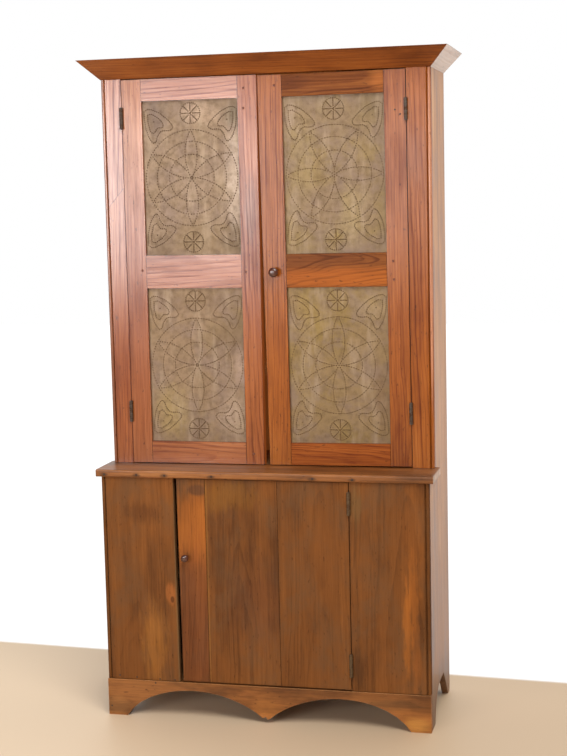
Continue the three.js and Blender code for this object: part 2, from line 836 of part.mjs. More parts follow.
const openingLeft = -halfWidth + leftFaceStileWidth;
const openingRight = halfWidth - rightFaceStileWidth;
const doorsWidth = openingRight - openingLeft - 2 * hingeGap - meetingGap;
const doorTop = corniceBottom - doorTopGap;
const upperHingeZ = doorTop - upperHingeDrop;
const upperAxisY = upperFront - axisOffset;
const leanAt = (z) => (upperHingeZ - z) * Math.tan(rightDoorSag);

function doorLayout(side, width, hingeStile, meetingStile, sagDrop) {
  const bottom = waistTop + doorBottomGap + sagDrop - upperHingeZ;
  return {
    side,
    width,
    hingeStile,
    meetingStile,
    bottom,
    top: doorTop - upperHingeZ,
    lowerHinge: bottom + upperHingeRise,
  };
}

const leftDoorWidth = doorsWidth * leftDoorShare;
const rightDoorWidth = doorsWidth - leftDoorWidth;
const leftDoor = doorLayout(1, leftDoorWidth, leftHingeStileWidth, leftMeetingStileWidth, 0);
const rightDoor = doorLayout(
  -1, rightDoorWidth, rightHingeStileWidth, rightMeetingStileWidth,
  rightDoorWidth * Math.sin(rightDoorSag),
);
leftDoor.meetingEdge = leftMeetingEdge;
rightDoor.meetingEdge = rightMeetingEdge;
rightDoor.upperTinTurned = true;
rightDoor.knobReach = hingeGap / 2 + rightDoorWidth - rightMeetingStileWidth / 2;
rightDoor.knobHeight = sightHeights(rightDoor).upperSightLow - middleRailHeight / 2 - upperKnobDrop;

// A group on a hinge axis; tilt leans the axis in the plane of the front.
function axisGroup(x, y, z, tilt = 0) {
  const group = new THREE.Group();
  group.position.set(x, y, z);
  group.rotation.y = -tilt;
  group.updateMatrix();
  cabinet.add(group);
  return group;
}

const leftAxis = axisGroup(openingLeft + hingeGap / 2, upperAxisY, upperHingeZ);
const rightAxis = axisGroup(openingRight - hingeGap / 2, upperAxisY, upperHingeZ, rightDoorSag);

function placedGain(group, side, length, height) {
  return hingeGain(side, length).translate(0, 0, height).applyMatrix4(group.matrix);
}

function faceStile(sign, width, group, door, lean) {
  const upright = beadedUpright(sign, width, upperFront, waistTop + fit, caseTop, lean);
  const gains = [0, door.lowerHinge].map((height) => placedGain(group, sign, upperHingeLength, height));
  return cut(upright, gains);
}

const leftFaceStile = faceStile(-1, leftFaceStileWidth, leftAxis, leftDoor, () => 0);
const rightFaceStile = faceStile(1, rightFaceStileWidth, rightAxis, rightDoor, leanAt);
const spliceFoot = waistTop + (caseTop - waistTop) * spliceShare;

// All of the left stile's room on one side of the scarf: above it, or below it.
function scarfSide(limit, offset) {
  const outer = -halfWidth - overrun;
  const inner = openingLeft + overrun;
  const slope = spliceRise / leftFaceStileWidth;
  const heightAt = (x) => spliceFoot + offset + (x + halfWidth) * slope;
  const corners = [[outer, heightAt(outer)], [inner, heightAt(inner)], [inner, limit], [outer, limit]];
  const outline = limit > spliceFoot ? corners : corners.reverse();
  return alongY(shapeOf(outline), upperFront - overrun, upperSideFront + overrun);
}
const stileBelow = cut(leftFaceStile, [scarfSide(caseTop + overrun, -fit)]);
const stileAbove = cut(leftFaceStile, [scarfSide(waistTop - overrun, 0)]);
piece(cabinet, 'face_stile_left', stileBelow, materials.upperPine);
piece(cabinet, 'face_stile_left_splice', stileAbove, materials.upperPine);
piece(cabinet, 'face_stile_right', rightFaceStile, materials.upperPine);
piece(cabinet, 'head_rail', block(
  [openingLeft + fit, upperFront, corniceBottom + fit],
  [openingRight + leanAt(caseTop) - fit, upperSideFront, caseTop],
), materials.upperPine);

function hingePair(name, group, doorSide, length, heights) {
  for (const [key, height] of Object.entries(heights)) {
    const frameLeaf = hingeLeaf(-doorSide, length, true).translate(0, 0, height);
    const doorLeaf = hingeLeaf(doorSide, length, false).translate(0, 0, height);
    piece(group, `${name}_${key}_hinge_frame_leaf`, frameLeaf, materials.iron);
    piece(group, `${name}_${key}_hinge_door_leaf`, doorLeaf, materials.iron);
  }
}

doorFrame('left_door', leftAxis, leftDoor);
doorFrame('right_door', rightAxis, rightDoor);
hingePair('left_door', leftAxis, 1, upperHingeLength, { upper: 0, lower: leftDoor.lowerHinge });
hingePair('right_door', rightAxis, -1, upperHingeLength, { upper: 0, lower: rightDoor.lowerHinge });

function knobAndTurn(name, group, x, z, knob, throughThickness) {
  const knobMesh = piece(group, `${name}_knob`, turnedKnob(knob, throughThickness), materials.knob);
  knobMesh.position.set(x, axisOffset, z);
  const turnMesh = piece(group, `${name}_turn`, woodenTurn(knob.reach), materials.insidePine);
  turnMesh.position.set(x, axisOffset + throughThickness + turnGap, z);
}
knobAndTurn('right_door', rightAxis, -rightDoor.knobReach, rightDoor.knobHeight, upperKnob, doorThickness);

// The lower front and its door

const lowerDoorTop = waistBottom - lowerDoorTopGap;
const lowerDoorBottom = skirtHeight + lowerDoorBottomGap;
const lowerHingeZ = lowerDoorTop - lowerHingeDrop;
const lowerOpeningLeft = -halfWidth + leftFrontBoardWidth;
const lowerOpeningRight = halfWidth - rightFrontBoardWidth;
const lowerAxis = axisGroup(lowerOpeningRight - hingeGap / 2, -axisOffset, lowerHingeZ);
const lowerDoorWidth = lowerOpeningRight - lowerOpeningLeft - hingeGap - latchGap;
const lowerDoorLow = lowerDoorBottom - lowerHingeZ;
const lowerDoorHigh = lowerDoorTop - lowerHingeZ;
const lowerHingeDown = lowerDoorLow + lowerHingeRise;

// The gap at the latch leans towards the left as it rises.
const latchLeanAt = (z) => -latchEdgeLean * (z - skirtHeight) / (waistBottom - skirtHeight);

function frontBoard(sign, width, lean) {
  return beadedUpright(sign, width, 0, skirtHeight + fit, waistBottom - fit, lean);
}
piece(cabinet, 'front_board_left', frontBoard(-1, leftFrontBoardWidth, latchLeanAt), materials.lowerPine);
piece(cabinet, 'front_board_right', cut(
  frontBoard(1, rightFrontBoardWidth),
  [0, lowerHingeDown].map((height) => placedGain(lowerAxis, 1, lowerHingeLength, height)),
), materials.lowerPine);

// Three boards from the hinge side to the latch side, held by two chamfered battens.
function lowerDoor() {
  const face = axisOffset;
  const back = face + frontThickness;
  const knobX = -(hingeGap / 2 + lowerDoorWidth - lowerKnobInset);
  const knobZ = lowerDoorLow + (lowerDoorHigh - lowerDoorLow) * lowerKnobRiseShare;
  let near = hingeGap / 2;
  ['right', 'middle', 'left'].forEach((key, i) => {
    const far = near + lowerDoorWidth * lowerBoardShares[i];
    const right = -near - (i > 0 ? fit : 0);
    const leanOf = (height) => (key === 'left' ? latchLeanAt(lowerHingeZ + height) : 0);
    const board = alongY(shapeOf([
      [right, lowerDoorLow], [right, lowerDoorHigh],
      [-far + leanOf(lowerDoorHigh), lowerDoorHigh], [-far + leanOf(lowerDoorLow), lowerDoorLow],
    ]), face, back);
    const cutters = [];
    if (key === 'right') {
      for (const height of [0, lowerHingeDown]) {
        cutters.push(hingeGain(-1, lowerHingeLength).translate(0, 0, height));
      }
    }
    if (key === 'left') {
      const hole = post(shankRadius + fit, face - overrun, back + overrun, shankSides).rotateX(-Math.PI / 2);
      cutters.push(hole.translate(knobX, 0, knobZ));
    }
    piece(lowerAxis, `lower_door_board_${key}`, cut(board, cutters), materials.lowerPine);
    near = far;
  });

  const battenBack = back + fit + battenThickness;
  const section = shapeOf([
    [back + fit, -battenWidth / 2], [battenBack - battenChamfer, -battenWidth / 2],
    [battenBack, -battenWidth / 2 + battenChamfer], [battenBack, battenWidth / 2 - battenChamfer],
    [battenBack - battenChamfer, battenWidth / 2], [back + fit, battenWidth / 2],
  ]);
  const battenNear = hingeGap / 2 + battenInset;
  const battenFar = hingeGap / 2 + lowerDoorWidth - battenInset;
  for (const [key, height] of Object.entries({ top: 0, bottom: lowerHingeDown })) {
    const batten = alongX(section, -battenFar, -battenNear).translate(0, 0, height);
    piece(lowerAxis, `lower_door_batten_${key}`, batten, materials.insidePine);
  }
  knobAndTurn('lower_door', lowerAxis, knobX, knobZ, lowerKnob, frontThickness);
}
lowerDoor();
hingePair('lower_door', lowerAxis, -1, lowerHingeLength, { upper: 0, lower: lowerHingeDown });

export default pieSafe;
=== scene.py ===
# %% [markdown]
# # A step-back pie safe in heart pine
# A pie safe is a kitchen cupboard whose upper doors hold punched tins, so that air
# reaches the pies and flies don't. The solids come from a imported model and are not
# changed here. This script gives them old wood, tin and iron, and adds what is too
# small for the solids: the full dotted pattern of the tins, the pegs and the nails.
# First the solids are loaded as a fixed frame, in metres, with the floor at z = 0.

# %% Load the frame
import json
import math
import bmesh
import bpy
from mathutils import Matrix, Vector


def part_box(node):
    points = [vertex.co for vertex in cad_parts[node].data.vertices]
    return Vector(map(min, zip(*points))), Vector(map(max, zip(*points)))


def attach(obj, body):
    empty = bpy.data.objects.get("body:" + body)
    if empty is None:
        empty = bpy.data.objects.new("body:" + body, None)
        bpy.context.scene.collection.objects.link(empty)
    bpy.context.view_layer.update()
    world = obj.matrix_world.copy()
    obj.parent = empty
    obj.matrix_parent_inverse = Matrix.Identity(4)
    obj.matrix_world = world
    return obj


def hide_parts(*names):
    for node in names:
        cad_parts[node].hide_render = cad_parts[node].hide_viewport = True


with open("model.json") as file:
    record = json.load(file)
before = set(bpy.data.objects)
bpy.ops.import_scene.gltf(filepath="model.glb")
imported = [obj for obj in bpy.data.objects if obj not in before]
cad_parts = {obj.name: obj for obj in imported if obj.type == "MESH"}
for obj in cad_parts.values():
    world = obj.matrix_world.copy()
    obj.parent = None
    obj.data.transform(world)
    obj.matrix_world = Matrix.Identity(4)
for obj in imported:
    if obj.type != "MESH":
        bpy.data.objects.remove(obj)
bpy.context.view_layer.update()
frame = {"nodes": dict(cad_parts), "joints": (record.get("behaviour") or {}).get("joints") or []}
nodes = frame["nodes"]
scene = bpy.context.scene

# %% [markdown]
# ## The camera
# The cupboard was seen from the right, from a standing person's eye height, with the
# camera tipped a little down and leaning a little. A long lens keeps the verticals
# nearly parallel. The place and angles below were worked out from the cupboard's own
# corners, so a straight line in the picture stays straight on the model.

# %% Camera
IMAGE_HEIGHT = 756
FOCAL_PIXELS = 1528.8
FILM_HEIGHT = 36.0
CAMERA_PLACE = Vector((1.171, -4.673, 1.647))
TURN, TIP, LEAN = 0.2392, 0.1203, -0.0229


def camera_axes(turn, tip, lean):
    """The camera's right, up and back directions."""
    look = Vector((-math.sin(turn) * math.cos(tip), math.cos(turn) * math.cos(tip), -math.sin(tip)))
    level = Vector((math.cos(turn), math.sin(turn), 0))
    rise = level.cross(look)
    right = math.cos(lean) * level + math.sin(lean) * rise
    up = -math.sin(lean) * level + math.cos(lean) * rise
    return right, up, -look


def add_object(name, data):
    piece = bpy.data.objects.new(name, data)
    scene.collection.objects.link(piece)
    return piece


lens = bpy.data.cameras.new("camera")
lens.sensor_fit = "VERTICAL"
lens.sensor_height = FILM_HEIGHT
lens.lens = FOCAL_PIXELS / IMAGE_HEIGHT * FILM_HEIGHT
lens.clip_start = 0.05
camera = add_object("camera", lens)
axes = Matrix(camera_axes(TURN, TIP, LEAN)).transposed()
camera.matrix_world = Matrix.Translation(CAMERA_PLACE) @ axes.to_4x4()
scene.camera = camera
print("lens", round(lens.lens, 1), "mm")

# %% [markdown]
# ## Node helpers
# Every material below is a graph of nodes. Written out in full, each node takes four
# or five lines, so these helpers make a node, set its inputs by name and link what is
# given as a wire. A wire is the output of a node, and arithmetic on wires adds the
# math nodes for it, so that a formula reads like a formula. A colour is written as it
# looks on a screen, from 0 to 255, and turned into the linear values of the renderer.

# %% Node helpers
def tone(red, green, blue):
    """A screen colour as linear red, green, blue and full alpha."""
    def linear(value):
        value /= 255
        return value / 12.92 if value <= 0.04045 else ((value + 0.055) / 1.055) ** 2.4
    return (linear(red), linear(green), linear(blue), 1.0)


class Wire:
    """An output of a node. Arithmetic on it adds the math nodes that work the result out."""

    def __init__(self, socket):
        self.socket = socket

    def __add__(self, other):
        return calc("ADD", self, other)

    def __sub__(self, other):
        return calc("SUBTRACT", self, other)

    def __rsub__(self, other):
        return calc("SUBTRACT", other, self)

    def __mul__(self, other):
        return calc("MULTIPLY", self, other)

    def __truediv__(self, other):
        return calc("DIVIDE", self, other)


def tree_of(*values):
    """The tree of the first wire among some values."""
    return next(value.socket.id_data for value in values if isinstance(value, Wire))


def connect(value, socket):
    """Links a wire to a socket, or sets the socket's value."""
    if isinstance(value, Wire):
        socket.id_data.links.new(value.socket, socket)
    else:
        socket.default_value = value


def add_node(tree, kind, inputs=None, output=0, **settings):
    """Adds a node, fills its inputs, and returns one of its outputs."""
    node = tree.nodes.new(kind)
    for key, value in settings.items():
        setattr(node, key, value)
    for key, value in (inputs or {}).items():
        connect(value, node.inputs[key])
    return Wire(node.outputs[output])


def calc(operation, *values):
    """A math node; it is the vector kind as soon as one value is a vector."""
    def is_vector(value):
        return isinstance(value, tuple) or isinstance(value, Wire) and value.socket.type in ("VECTOR", "RGBA")

    kind, output = "ShaderNodeMath", 0
    if any(map(is_vector, values)):
        kind, output = "ShaderNodeVectorMath", "Value" if operation in ("LENGTH", "DOT_PRODUCT") else "Vector"
    return add_node(tree_of(*values), kind, dict(enumerate(values)), output, operation=operation)


def scale_vector(vector, factor):
    return add_node(tree_of(factor), "ShaderNodeVectorMath", {0: vector, "Scale": factor}, operation="SCALE")


def split(vector):
    """The three parts of a vector."""
    part = add_node(tree_of(vector), "ShaderNodeSeparateXYZ", {0: vector})
    return [Wire(socket) for socket in part.socket.node.outputs]


def combine(x=0.0, y=0.0, z=0.0):
    return add_node(tree_of(x, y, z), "ShaderNodeCombineXYZ", {"X": x, "Y": y, "Z": z})


print("a pale tone:", [round(value, 3) for value in tone(222, 199, 170)])

# %% [markdown]
# ## Spans, blends and noise
# Three nodes turn up in nearly every material. A map range moves a value from one span
# to another, a mix blends two colours, and noise gives the clouds and streaks that no
# real surface is without.

# %% Spans, blends and noise
def remap(value, low, high, to_low=0.0, to_high=1.0, smooth=True):
    """Moves a value from one span to another and stops it at the ends."""
    inputs = {"Value": value, "From Min": low, "From Max": high, "To Min": to_low, "To Max": to_high}
    return add_node(tree_of(value), "ShaderNodeMapRange", inputs,
                    interpolation_type="SMOOTHSTEP" if smooth else "LINEAR")


def blend_colour(factor, first, second):
    return add_node(tree_of(factor), "ShaderNodeMix", {0: factor, 6: first, 7: second}, 2, data_type="RGBA")


def noise(position, scale, detail=2.0, roughness=0.5, stretch=None, output="Fac"):
    """Cloudy noise; stretch above 1 makes it finer along that direction."""
    if stretch:
        position = position * stretch
    inputs = {"Vector": position, "Scale": scale, "Detail": detail, "Roughness": roughness}
    return add_node(tree_of(position), "ShaderNodeTexNoise", inputs, output)


NOISE_MIDDLE = 0.5  # what noise gives on average
print("noise swings about", NOISE_MIDDLE)

# %% [markdown]
# ## Trees with named inputs
# What several materials share is built once, as a group, and placed in each of them
# with inputs of its own. A geometry tree gets its inputs in the same way, so one
# function names the sockets for both.

# %% Trees with named inputs
def open_tree(tree, inputs, outputs):
    """Gives a tree its named sockets; returns its given wires, its results and the inputs' own names."""
    names = {}
    for title, kind, value in inputs:
        socket = tree.interface.new_socket(title, in_out="INPUT", socket_type=f"NodeSocket{kind}")
        if value is not None:
            socket.default_value = value
        names[title] = socket.identifier
    for title, kind in outputs:
        tree.interface.new_socket(title, in_out="OUTPUT", socket_type=f"NodeSocket{kind}")
    given = {socket.name: Wire(socket) for socket in tree.nodes.new("NodeGroupInput").outputs}
    return given, tree.nodes.new("NodeGroupOutput").inputs, names


def new_group(name, inputs, outputs):
    """A shader group with named sockets; inputs are (name, type, start value)."""
    tree = bpy.data.node_groups.new(name, "ShaderNodeTree")
    given, result, _ = open_tree(tree, inputs, outputs)
    return tree, given, result


def use_group(group, inputs):
    """Places a group in the tree of its inputs; returns its outputs by name."""
    node = tree_of(*inputs.values()).nodes.new("ShaderNodeGroup")
    node.node_tree = group
    for key, value in inputs.items():
        connect(value, node.inputs[key])
    return {socket.name: Wire(socket) for socket in node.outputs}


print("groups so far:", len(bpy.data.node_groups))

# %% [markdown]
# ## The figure of heart pine
# A pine log is a stack of cones, one for each year. In each year the pale early wood
# comes first and the dark, hard late wood ends it as a thin line. A board is a flat
# cut through those cones: far from the heart it shows straight lines, and across the
# heart it shows long arches. So the group below keeps no picture of wood. It measures
# the distance from a point of the board to the heart of its log, divides it into
# years, and lets noise make the log crooked. Each board gets its own heart and seed.
# Finer noise, drawn out along the board, gives the streaks and fibres.

# %% Group: pine figure
RAGGED_RINGS = 0.0022  # metres
UNEVEN_YEARS = 2.4  # years
LATE_COMES, LATE_ENDS = (0.5, 0.9), (0.94, 1.0)  # shares of a year
# How fine each noise is along, across and through the board, per metre
BEND_FINENESS, RING_FINENESS, FADE_FINENESS = (2.4, 7.0, 7.0), (14.0, 70.0, 70.0), (3.0, 11.0, 11.0)
FINE_MARKS = {
    # mark: fineness, detail, roughness
    "Fibre": ((16.0, 700.0, 700.0), 3.0, 0.65),
    "Streak": ((4.0, 170.0, 170.0), 4.0, 0.7),
    "Broad": ((1.4, 34.0, 34.0), 3.0, 0.55),
}


def make_pine_figure():
    tree, given, result = new_group("pine_figure", [
        ("Position", "Vector", None), ("Ring width", "Float", 0.006), ("Heart across", "Float", 0.0),
        ("Heart depth", "Float", 0.08), ("Taper", "Float", 0.02), ("Wander", "Float", 0.02),
        ("Seed", "Float", 0.0),
    ], [("Late wood", "Float"), ("Fibre", "Float"), ("Streak", "Float"), ("Broad", "Float")])
    position, seed = given["Position"], given["Seed"]
    place = position + combine(seed, seed)
    bend = noise(place, 1.0, 3.0, 0.5, BEND_FINENESS, "Color") - (NOISE_MIDDLE,) * 3
    along, across, depth = split(position + scale_vector(bend, given["Wander"]))
    across, depth = across - given["Heart across"], depth - given["Heart depth"]
    cone = along * given["Taper"] + calc("SQRT", across * across + depth * depth)
    years = (noise(place, 1.0, 2.0, 0.6, RING_FINENESS) * RAGGED_RINGS + cone) / given["Ring width"]
    uneven = add_node(tree, "ShaderNodeTexNoise", {"W": years + seed, "Scale": 0.3, "Detail": 1.0}, "Fac",
                      noise_dimensions="1D")
    years = uneven * UNEVEN_YEARS + years
    within = calc("FRACT", years)
    late = remap(within, *LATE_COMES) * remap(within, *LATE_ENDS, 1.0, 0.0)
    strength = add_node(tree, "ShaderNodeTexWhiteNoise", {"W": calc("FLOOR", years) + seed}, "Value",
                        noise_dimensions="1D")
    fade = remap(noise(place, 1.0, 2.0, 0.5, FADE_FINENESS), 0.3, 0.62, 0.45, 1.0)
    late = late * (remap(strength, 0.0, 1.0, 0.3, 1.0, smooth=False) * fade)
    connect(late, result["Late wood"])
    for mark, (fineness, detail, roughness) in FINE_MARKS.items():
        connect(noise(place, 1.0, detail, roughness, fineness), result[mark])
    return tree


pine_figure = make_pine_figure()
print("group", pine_figure.name, "sockets", len(pine_figure.interface.items_tree))

# %% [markdown]
# ## Worn edges
# Hands, brooms and feet round every edge of an old cupboard, and dirt settles in the
# joints. The bevel node finds edges by looking for a second surface within a small
# radius. Where the rounded normal differs from the flat one, there is an edge, and
# noise breaks the mask up so that the wear is not a ruled line. The group gives the
# rounded normal too, which makes a sharp solid catch the light as a soft edge does.

# %% Group: worn edges
def make_worn_edges():
    tree, given, result = new_group("worn_edges", [
        ("Position", "Vector", None), ("Radius", "Float", 0.0015), ("Raggedness", "Float", 0.5),
    ], [("Edge", "Float"), ("Normal", "Vector")])
    rounded = add_node(tree, "ShaderNodeBevel", {"Radius": given["Radius"]}, samples=4)
    flat = add_node(tree, "ShaderNodeNewGeometry", output="Normal")
    edge = remap(1.0 - calc("DOT_PRODUCT", rounded, flat), 0.01, 0.2)
    missed = 1.0 - remap(noise(given["Position"], 22.0, 4.0, 0.65), 0.38, 0.62)
    connect(edge * (1.0 - given["Raggedness"] * missed), result["Edge"])
    connect(rounded, result["Normal"])
    return tree


worn_edges = make_worn_edges()
print("group", worn_edges.name)

# %% [markdown]
# ## Handling and age
# An old finish is never even: it is darker where it ran and pooled, lighter where it
# was rubbed, and scattered with dents and specks. One group makes those masks from
# noise at several sizes, so that every wooden piece ages in the same way but in
# different places.

# %% Group: age marks
def make_age_marks():
    tree, given, result = new_group("age_marks", [
        ("Position", "Vector", None), ("Stretch", "Vector", (1.0, 1.0, 1.0)), ("Seed", "Float", 0.0),
    ], [("Blotch", "Float"), ("Cloud", "Float"), ("Speck", "Float"), ("Dent", "Float")])
    place = given["Position"] * given["Stretch"] + combine(given["Seed"], 0.0, given["Seed"])
    dent = add_node(tree, "ShaderNodeTexVoronoi", {"Vector": place, "Scale": 26.0, "Randomness": 1.0},
                    "Distance")
    connect(remap(noise(place, 9.0, 4.0, 0.6), 0.4, 0.72), result["Blotch"])
    connect(remap(noise(place, 3.0, 3.0, 0.5), 0.25, 0.75, smooth=False), result["Cloud"])
    connect(remap(noise(place, 150.0, 2.0, 0.5), 0.66, 0.74), result["Speck"])
    connect(remap(dent, 0.0, 0.16, 1.0, 0.0), result["Dent"])
    return tree


age_marks = make_age_marks()
print("group", age_marks.name)

# %% [markdown]
# ## Patches
# Some marks have a place: the bright wood where a hand wore the finish off beside a
# knob, a dark smudge, an iron stain below a hinge. Others are painted highlights and
# painted shade. A patch is an ellipse in the plane of the front, and noise eats its rim
# so that it looks soaked in and not painted.

# %% Group: patch
def make_patch():
    tree, given, result = new_group("patch", [
        ("Position", "Vector", None), ("Centre", "Vector", (0.0, 0.0, 0.0)),
        ("Half size", "Vector", (0.1, 1.0, 0.1)), ("Softness", "Float", 0.5),
        ("Grain", "Vector", (70.0, 70.0, 9.0)), ("Raggedness", "Float", 2.4),
    ], [("Mask", "Float")])
    position, softness = given["Position"], given["Softness"]
    share = (position - given["Centre"]) / given["Half size"] * (1.0, 0.0, 1.0)
    rim = noise(position * given["Grain"], 1.0, 4.0, 0.65)
    distance = calc("LENGTH", share) + (rim - NOISE_MIDDLE) * given["Raggedness"]
    near, far = 1.0 - softness, softness + 1.0
    connect(remap(distance, near, far, 1.0, 0.0), result["Mask"])
    return tree


patch = make_patch()


def paint_patch(surface, place, spot, colour, strength, softness, ragged, grain):
    """Blends one patch over a colour; spot is its centre's x and z and its half width and height."""
    x, z, half_x, half_z = spot
    mask = use_group(patch, {"Position": place, "Centre": (x, 0.0, z), "Half size": (half_x, 1.0, half_z),
                             "Softness": softness, "Raggedness": ragged, "Grain": grain})["Mask"]
    return blend_colour(mask * strength, surface, colour)


print("group", patch.name)

# %% [markdown]
# ## Old finished pine
# A board's material joins the groups. Streaks, late wood, clouds and blotches all
# push one number up or down, and a colour ramp turns that number into wood: dark,
# deep, plain and pale. That keeps every mark in the family of the same finish, as it
# is on real wood. Patches and edges come last. The late wood is harder, so it stands a
# little proud. Each board has a material of its own, because its length runs another
# way and it was cut from another place in its log. A recipe is a dictionary of
# colours and amounts, one for each finish on the cupboard.

# %% Recipes of the finishes
# ramp: dark, deep, plain and pale wood; edge, cast: tones of worn edges and of dulled places
# base: where plain wood starts; streak, broad, figure, blotch, cloud: how far each mark pushes
# rough: where the finish pooled, and elsewhere; gloss, coat: the shine of the wood and the varnish
# speck: how dark the specks are; edge_reach: how far in from an edge wear reaches, in metres
FINISHES = {
    "upper": dict(ramp=((70, 26, 8), (116, 52, 18), (158, 84, 30), (186, 112, 52)),
                  edge=(58, 25, 10), edge_amount=1.0, base=0.62, streak=0.75, broad=0.34, figure=0.26,
                  blotch=0.18, cloud=0.24, rough=(0.4, 0.5), gloss=0.1, coat=1.0, speck=0.5,
                  edge_reach=0.003),
    # The cornice's pale edges are wear, and along its top edge also a painted highlight.
    "cornice": dict(ramp=((66, 30, 8), (106, 52, 14), (142, 76, 24), (176, 106, 44)),
                    edge=(176, 106, 48), edge_amount=0.5, base=0.62, streak=0.6, broad=0.45, figure=0.24,
                    blotch=0.3, cloud=0.35, rough=(0.4, 0.5), gloss=0.3, coat=0.2),
    "lower": dict(ramp=((56, 32, 14), (94, 56, 25), (125, 76, 35), (154, 98, 48)),
                  edge=(38, 22, 10), edge_amount=1.0, base=0.62, streak=0.5, broad=0.26, figure=0.14,
                  blotch=0.24, cloud=0.3, rough=(0.5, 0.66), gloss=0.12, coat=0.0, speck=0.35,
                  edge_reach=0.0035, cast=(100, 74, 50), cast_amount=0.45),
    "waist": dict(ramp=((64, 36, 16), (108, 64, 28), (146, 90, 42), (184, 126, 70)),
                  edge=(172, 110, 62), edge_amount=0.35, base=0.6, streak=1.0, broad=0.6, figure=0.2,
                  blotch=0.3, cloud=0.4, rough=(0.4, 0.56), gloss=0.3, coat=0.18, speck=0.7,
                  edge_reach=0.009),
    "skirt": dict(ramp=((76, 44, 20), (122, 74, 34), (162, 102, 50), (196, 136, 76)),
                  edge=(204, 148, 92), edge_amount=0.9, base=0.68, streak=0.4, broad=0.3, figure=0.08,
                  blotch=0.5, cloud=0.6, rough=(0.5, 0.66), gloss=0.25, coat=0.0, speck=0.6,
                  edge_reach=0.003),
    "side": dict(ramp=((112, 70, 42), (166, 112, 68), (204, 146, 92), (228, 178, 126)),
                 edge=(90, 54, 32), edge_amount=0.6, base=0.6, streak=1.1, broad=0.5, figure=0.15,
                 blotch=0.3, cloud=0.4, rough=(0.44, 0.58), gloss=0.38, coat=0.1),
    "inside": dict(ramp=((84, 60, 40), (122, 90, 60), (164, 128, 88), (194, 162, 122)),
                   edge=(96, 70, 48), edge_amount=0.4, base=0.6, streak=0.5, broad=0.3, figure=0.25,
                   blotch=0.3, cloud=0.35, rough=(0.7, 0.88), gloss=0.25, coat=0.0),
}
print("finishes:", ", ".join(FINISHES))

# %% [markdown]
# ## Along the board
# Object coordinates are turned so that x runs the way the grain does, whichever way
# the board stands on the cupboard. Where the camera looks into a narrow gap, the dark
# inside would look black, so the faces there get a faint light of the wood's own
# colour. The alternative, a lamp inside the cupboard, would show when a door opens.

# %% Along the board
# The piece's own axes that run along a board, across it and through it
DIRECTIONS = {"Z": "ZXY", "X": "XZY", "Y": "YZX", "side": "ZYX", "shelf": "XYZ"}
RAMP_STOPS = (0.0, 0.34, 0.64, 1.0)
FIBRE_AMOUNT = 0.3
DIRT = (48, 26, 14)
PINE_DEFAULTS = dict(edge_reach=0.002, speck=0.3, coat_ior=1.5)
ALONG_X, ALONG_Z = (16.0, 90.0, 90.0), (90.0, 90.0, 16.0)


def new_material(name):
    """A new material, its shader's inputs, and the place on the piece."""
    material = bpy.data.materials.new(name)
    material.use_nodes = True
    tree = material.node_tree
    place = add_node(tree, "ShaderNodeTexCoord", output="Object")
    return material, tree.nodes["Principled BSDF"].inputs, place


def add_bump(shader, height, strength, distance, **normal):
    bump = add_node(tree_of(height), "ShaderNodeBump",
                    {"Height": height, "Strength": strength, "Distance": distance, **normal})
    connect(bump, shader["Normal"])


def board_position(place, run, centre):
    """Object coordinates turned so that x runs along the board, y across it and z through it."""
    parts = dict(zip("XYZ", split(place - tuple(centre))))
    return combine(*(parts[axis] for axis in DIRECTIONS[run]))


def wood_ramp(value, colours):
    """The ramp that turns the pushed number into wood."""
    ramp = add_node(tree_of(value), "ShaderNodeValToRGB", {"Fac": value})
    stops = ramp.socket.node.color_ramp.elements
    for place, colour in zip(RAMP_STOPS, colours):
        stop = stops[0] if place == 0.0 else stops[-1] if place == 1.0 else stops.new(place)
        stop.position = place
        stop.color = tone(*colour)
    return ramp


def faint_light(place, shader, limits, colour):
    """Faint light on what a narrow gap shows: all that lies within the limits along x, y and z."""
    parts = dict(zip("XYZ", split(place)))
    mask = None
    for axis, side, limit in limits:
        inside = calc(side, parts[axis], limit)
        mask = mask * inside if mask else inside
    connect(blend_colour(mask, tone(0, 0, 0), tone(*colour)), shader["Emission Color"])
    shader["Emission Strength"].default_value = 1.0


def push(value, *rows):
    """A value pushed up or down by each mark times its amount."""
    for mark, amount in rows:
        value = mark * amount + value
    return value


print("ways a board can run:", ", ".join(DIRECTIONS))

# %% [markdown]
# ## The material of a board
# The marks are added up, and the ramp gives their sum its colour. A patch is not one
# flat colour: it is scaled by the same grain as the wood round it, so it looks like
# thinner or darker finish and not like paint. The varnish is a coat over the wood,
# which is worn through more in some places than in others.

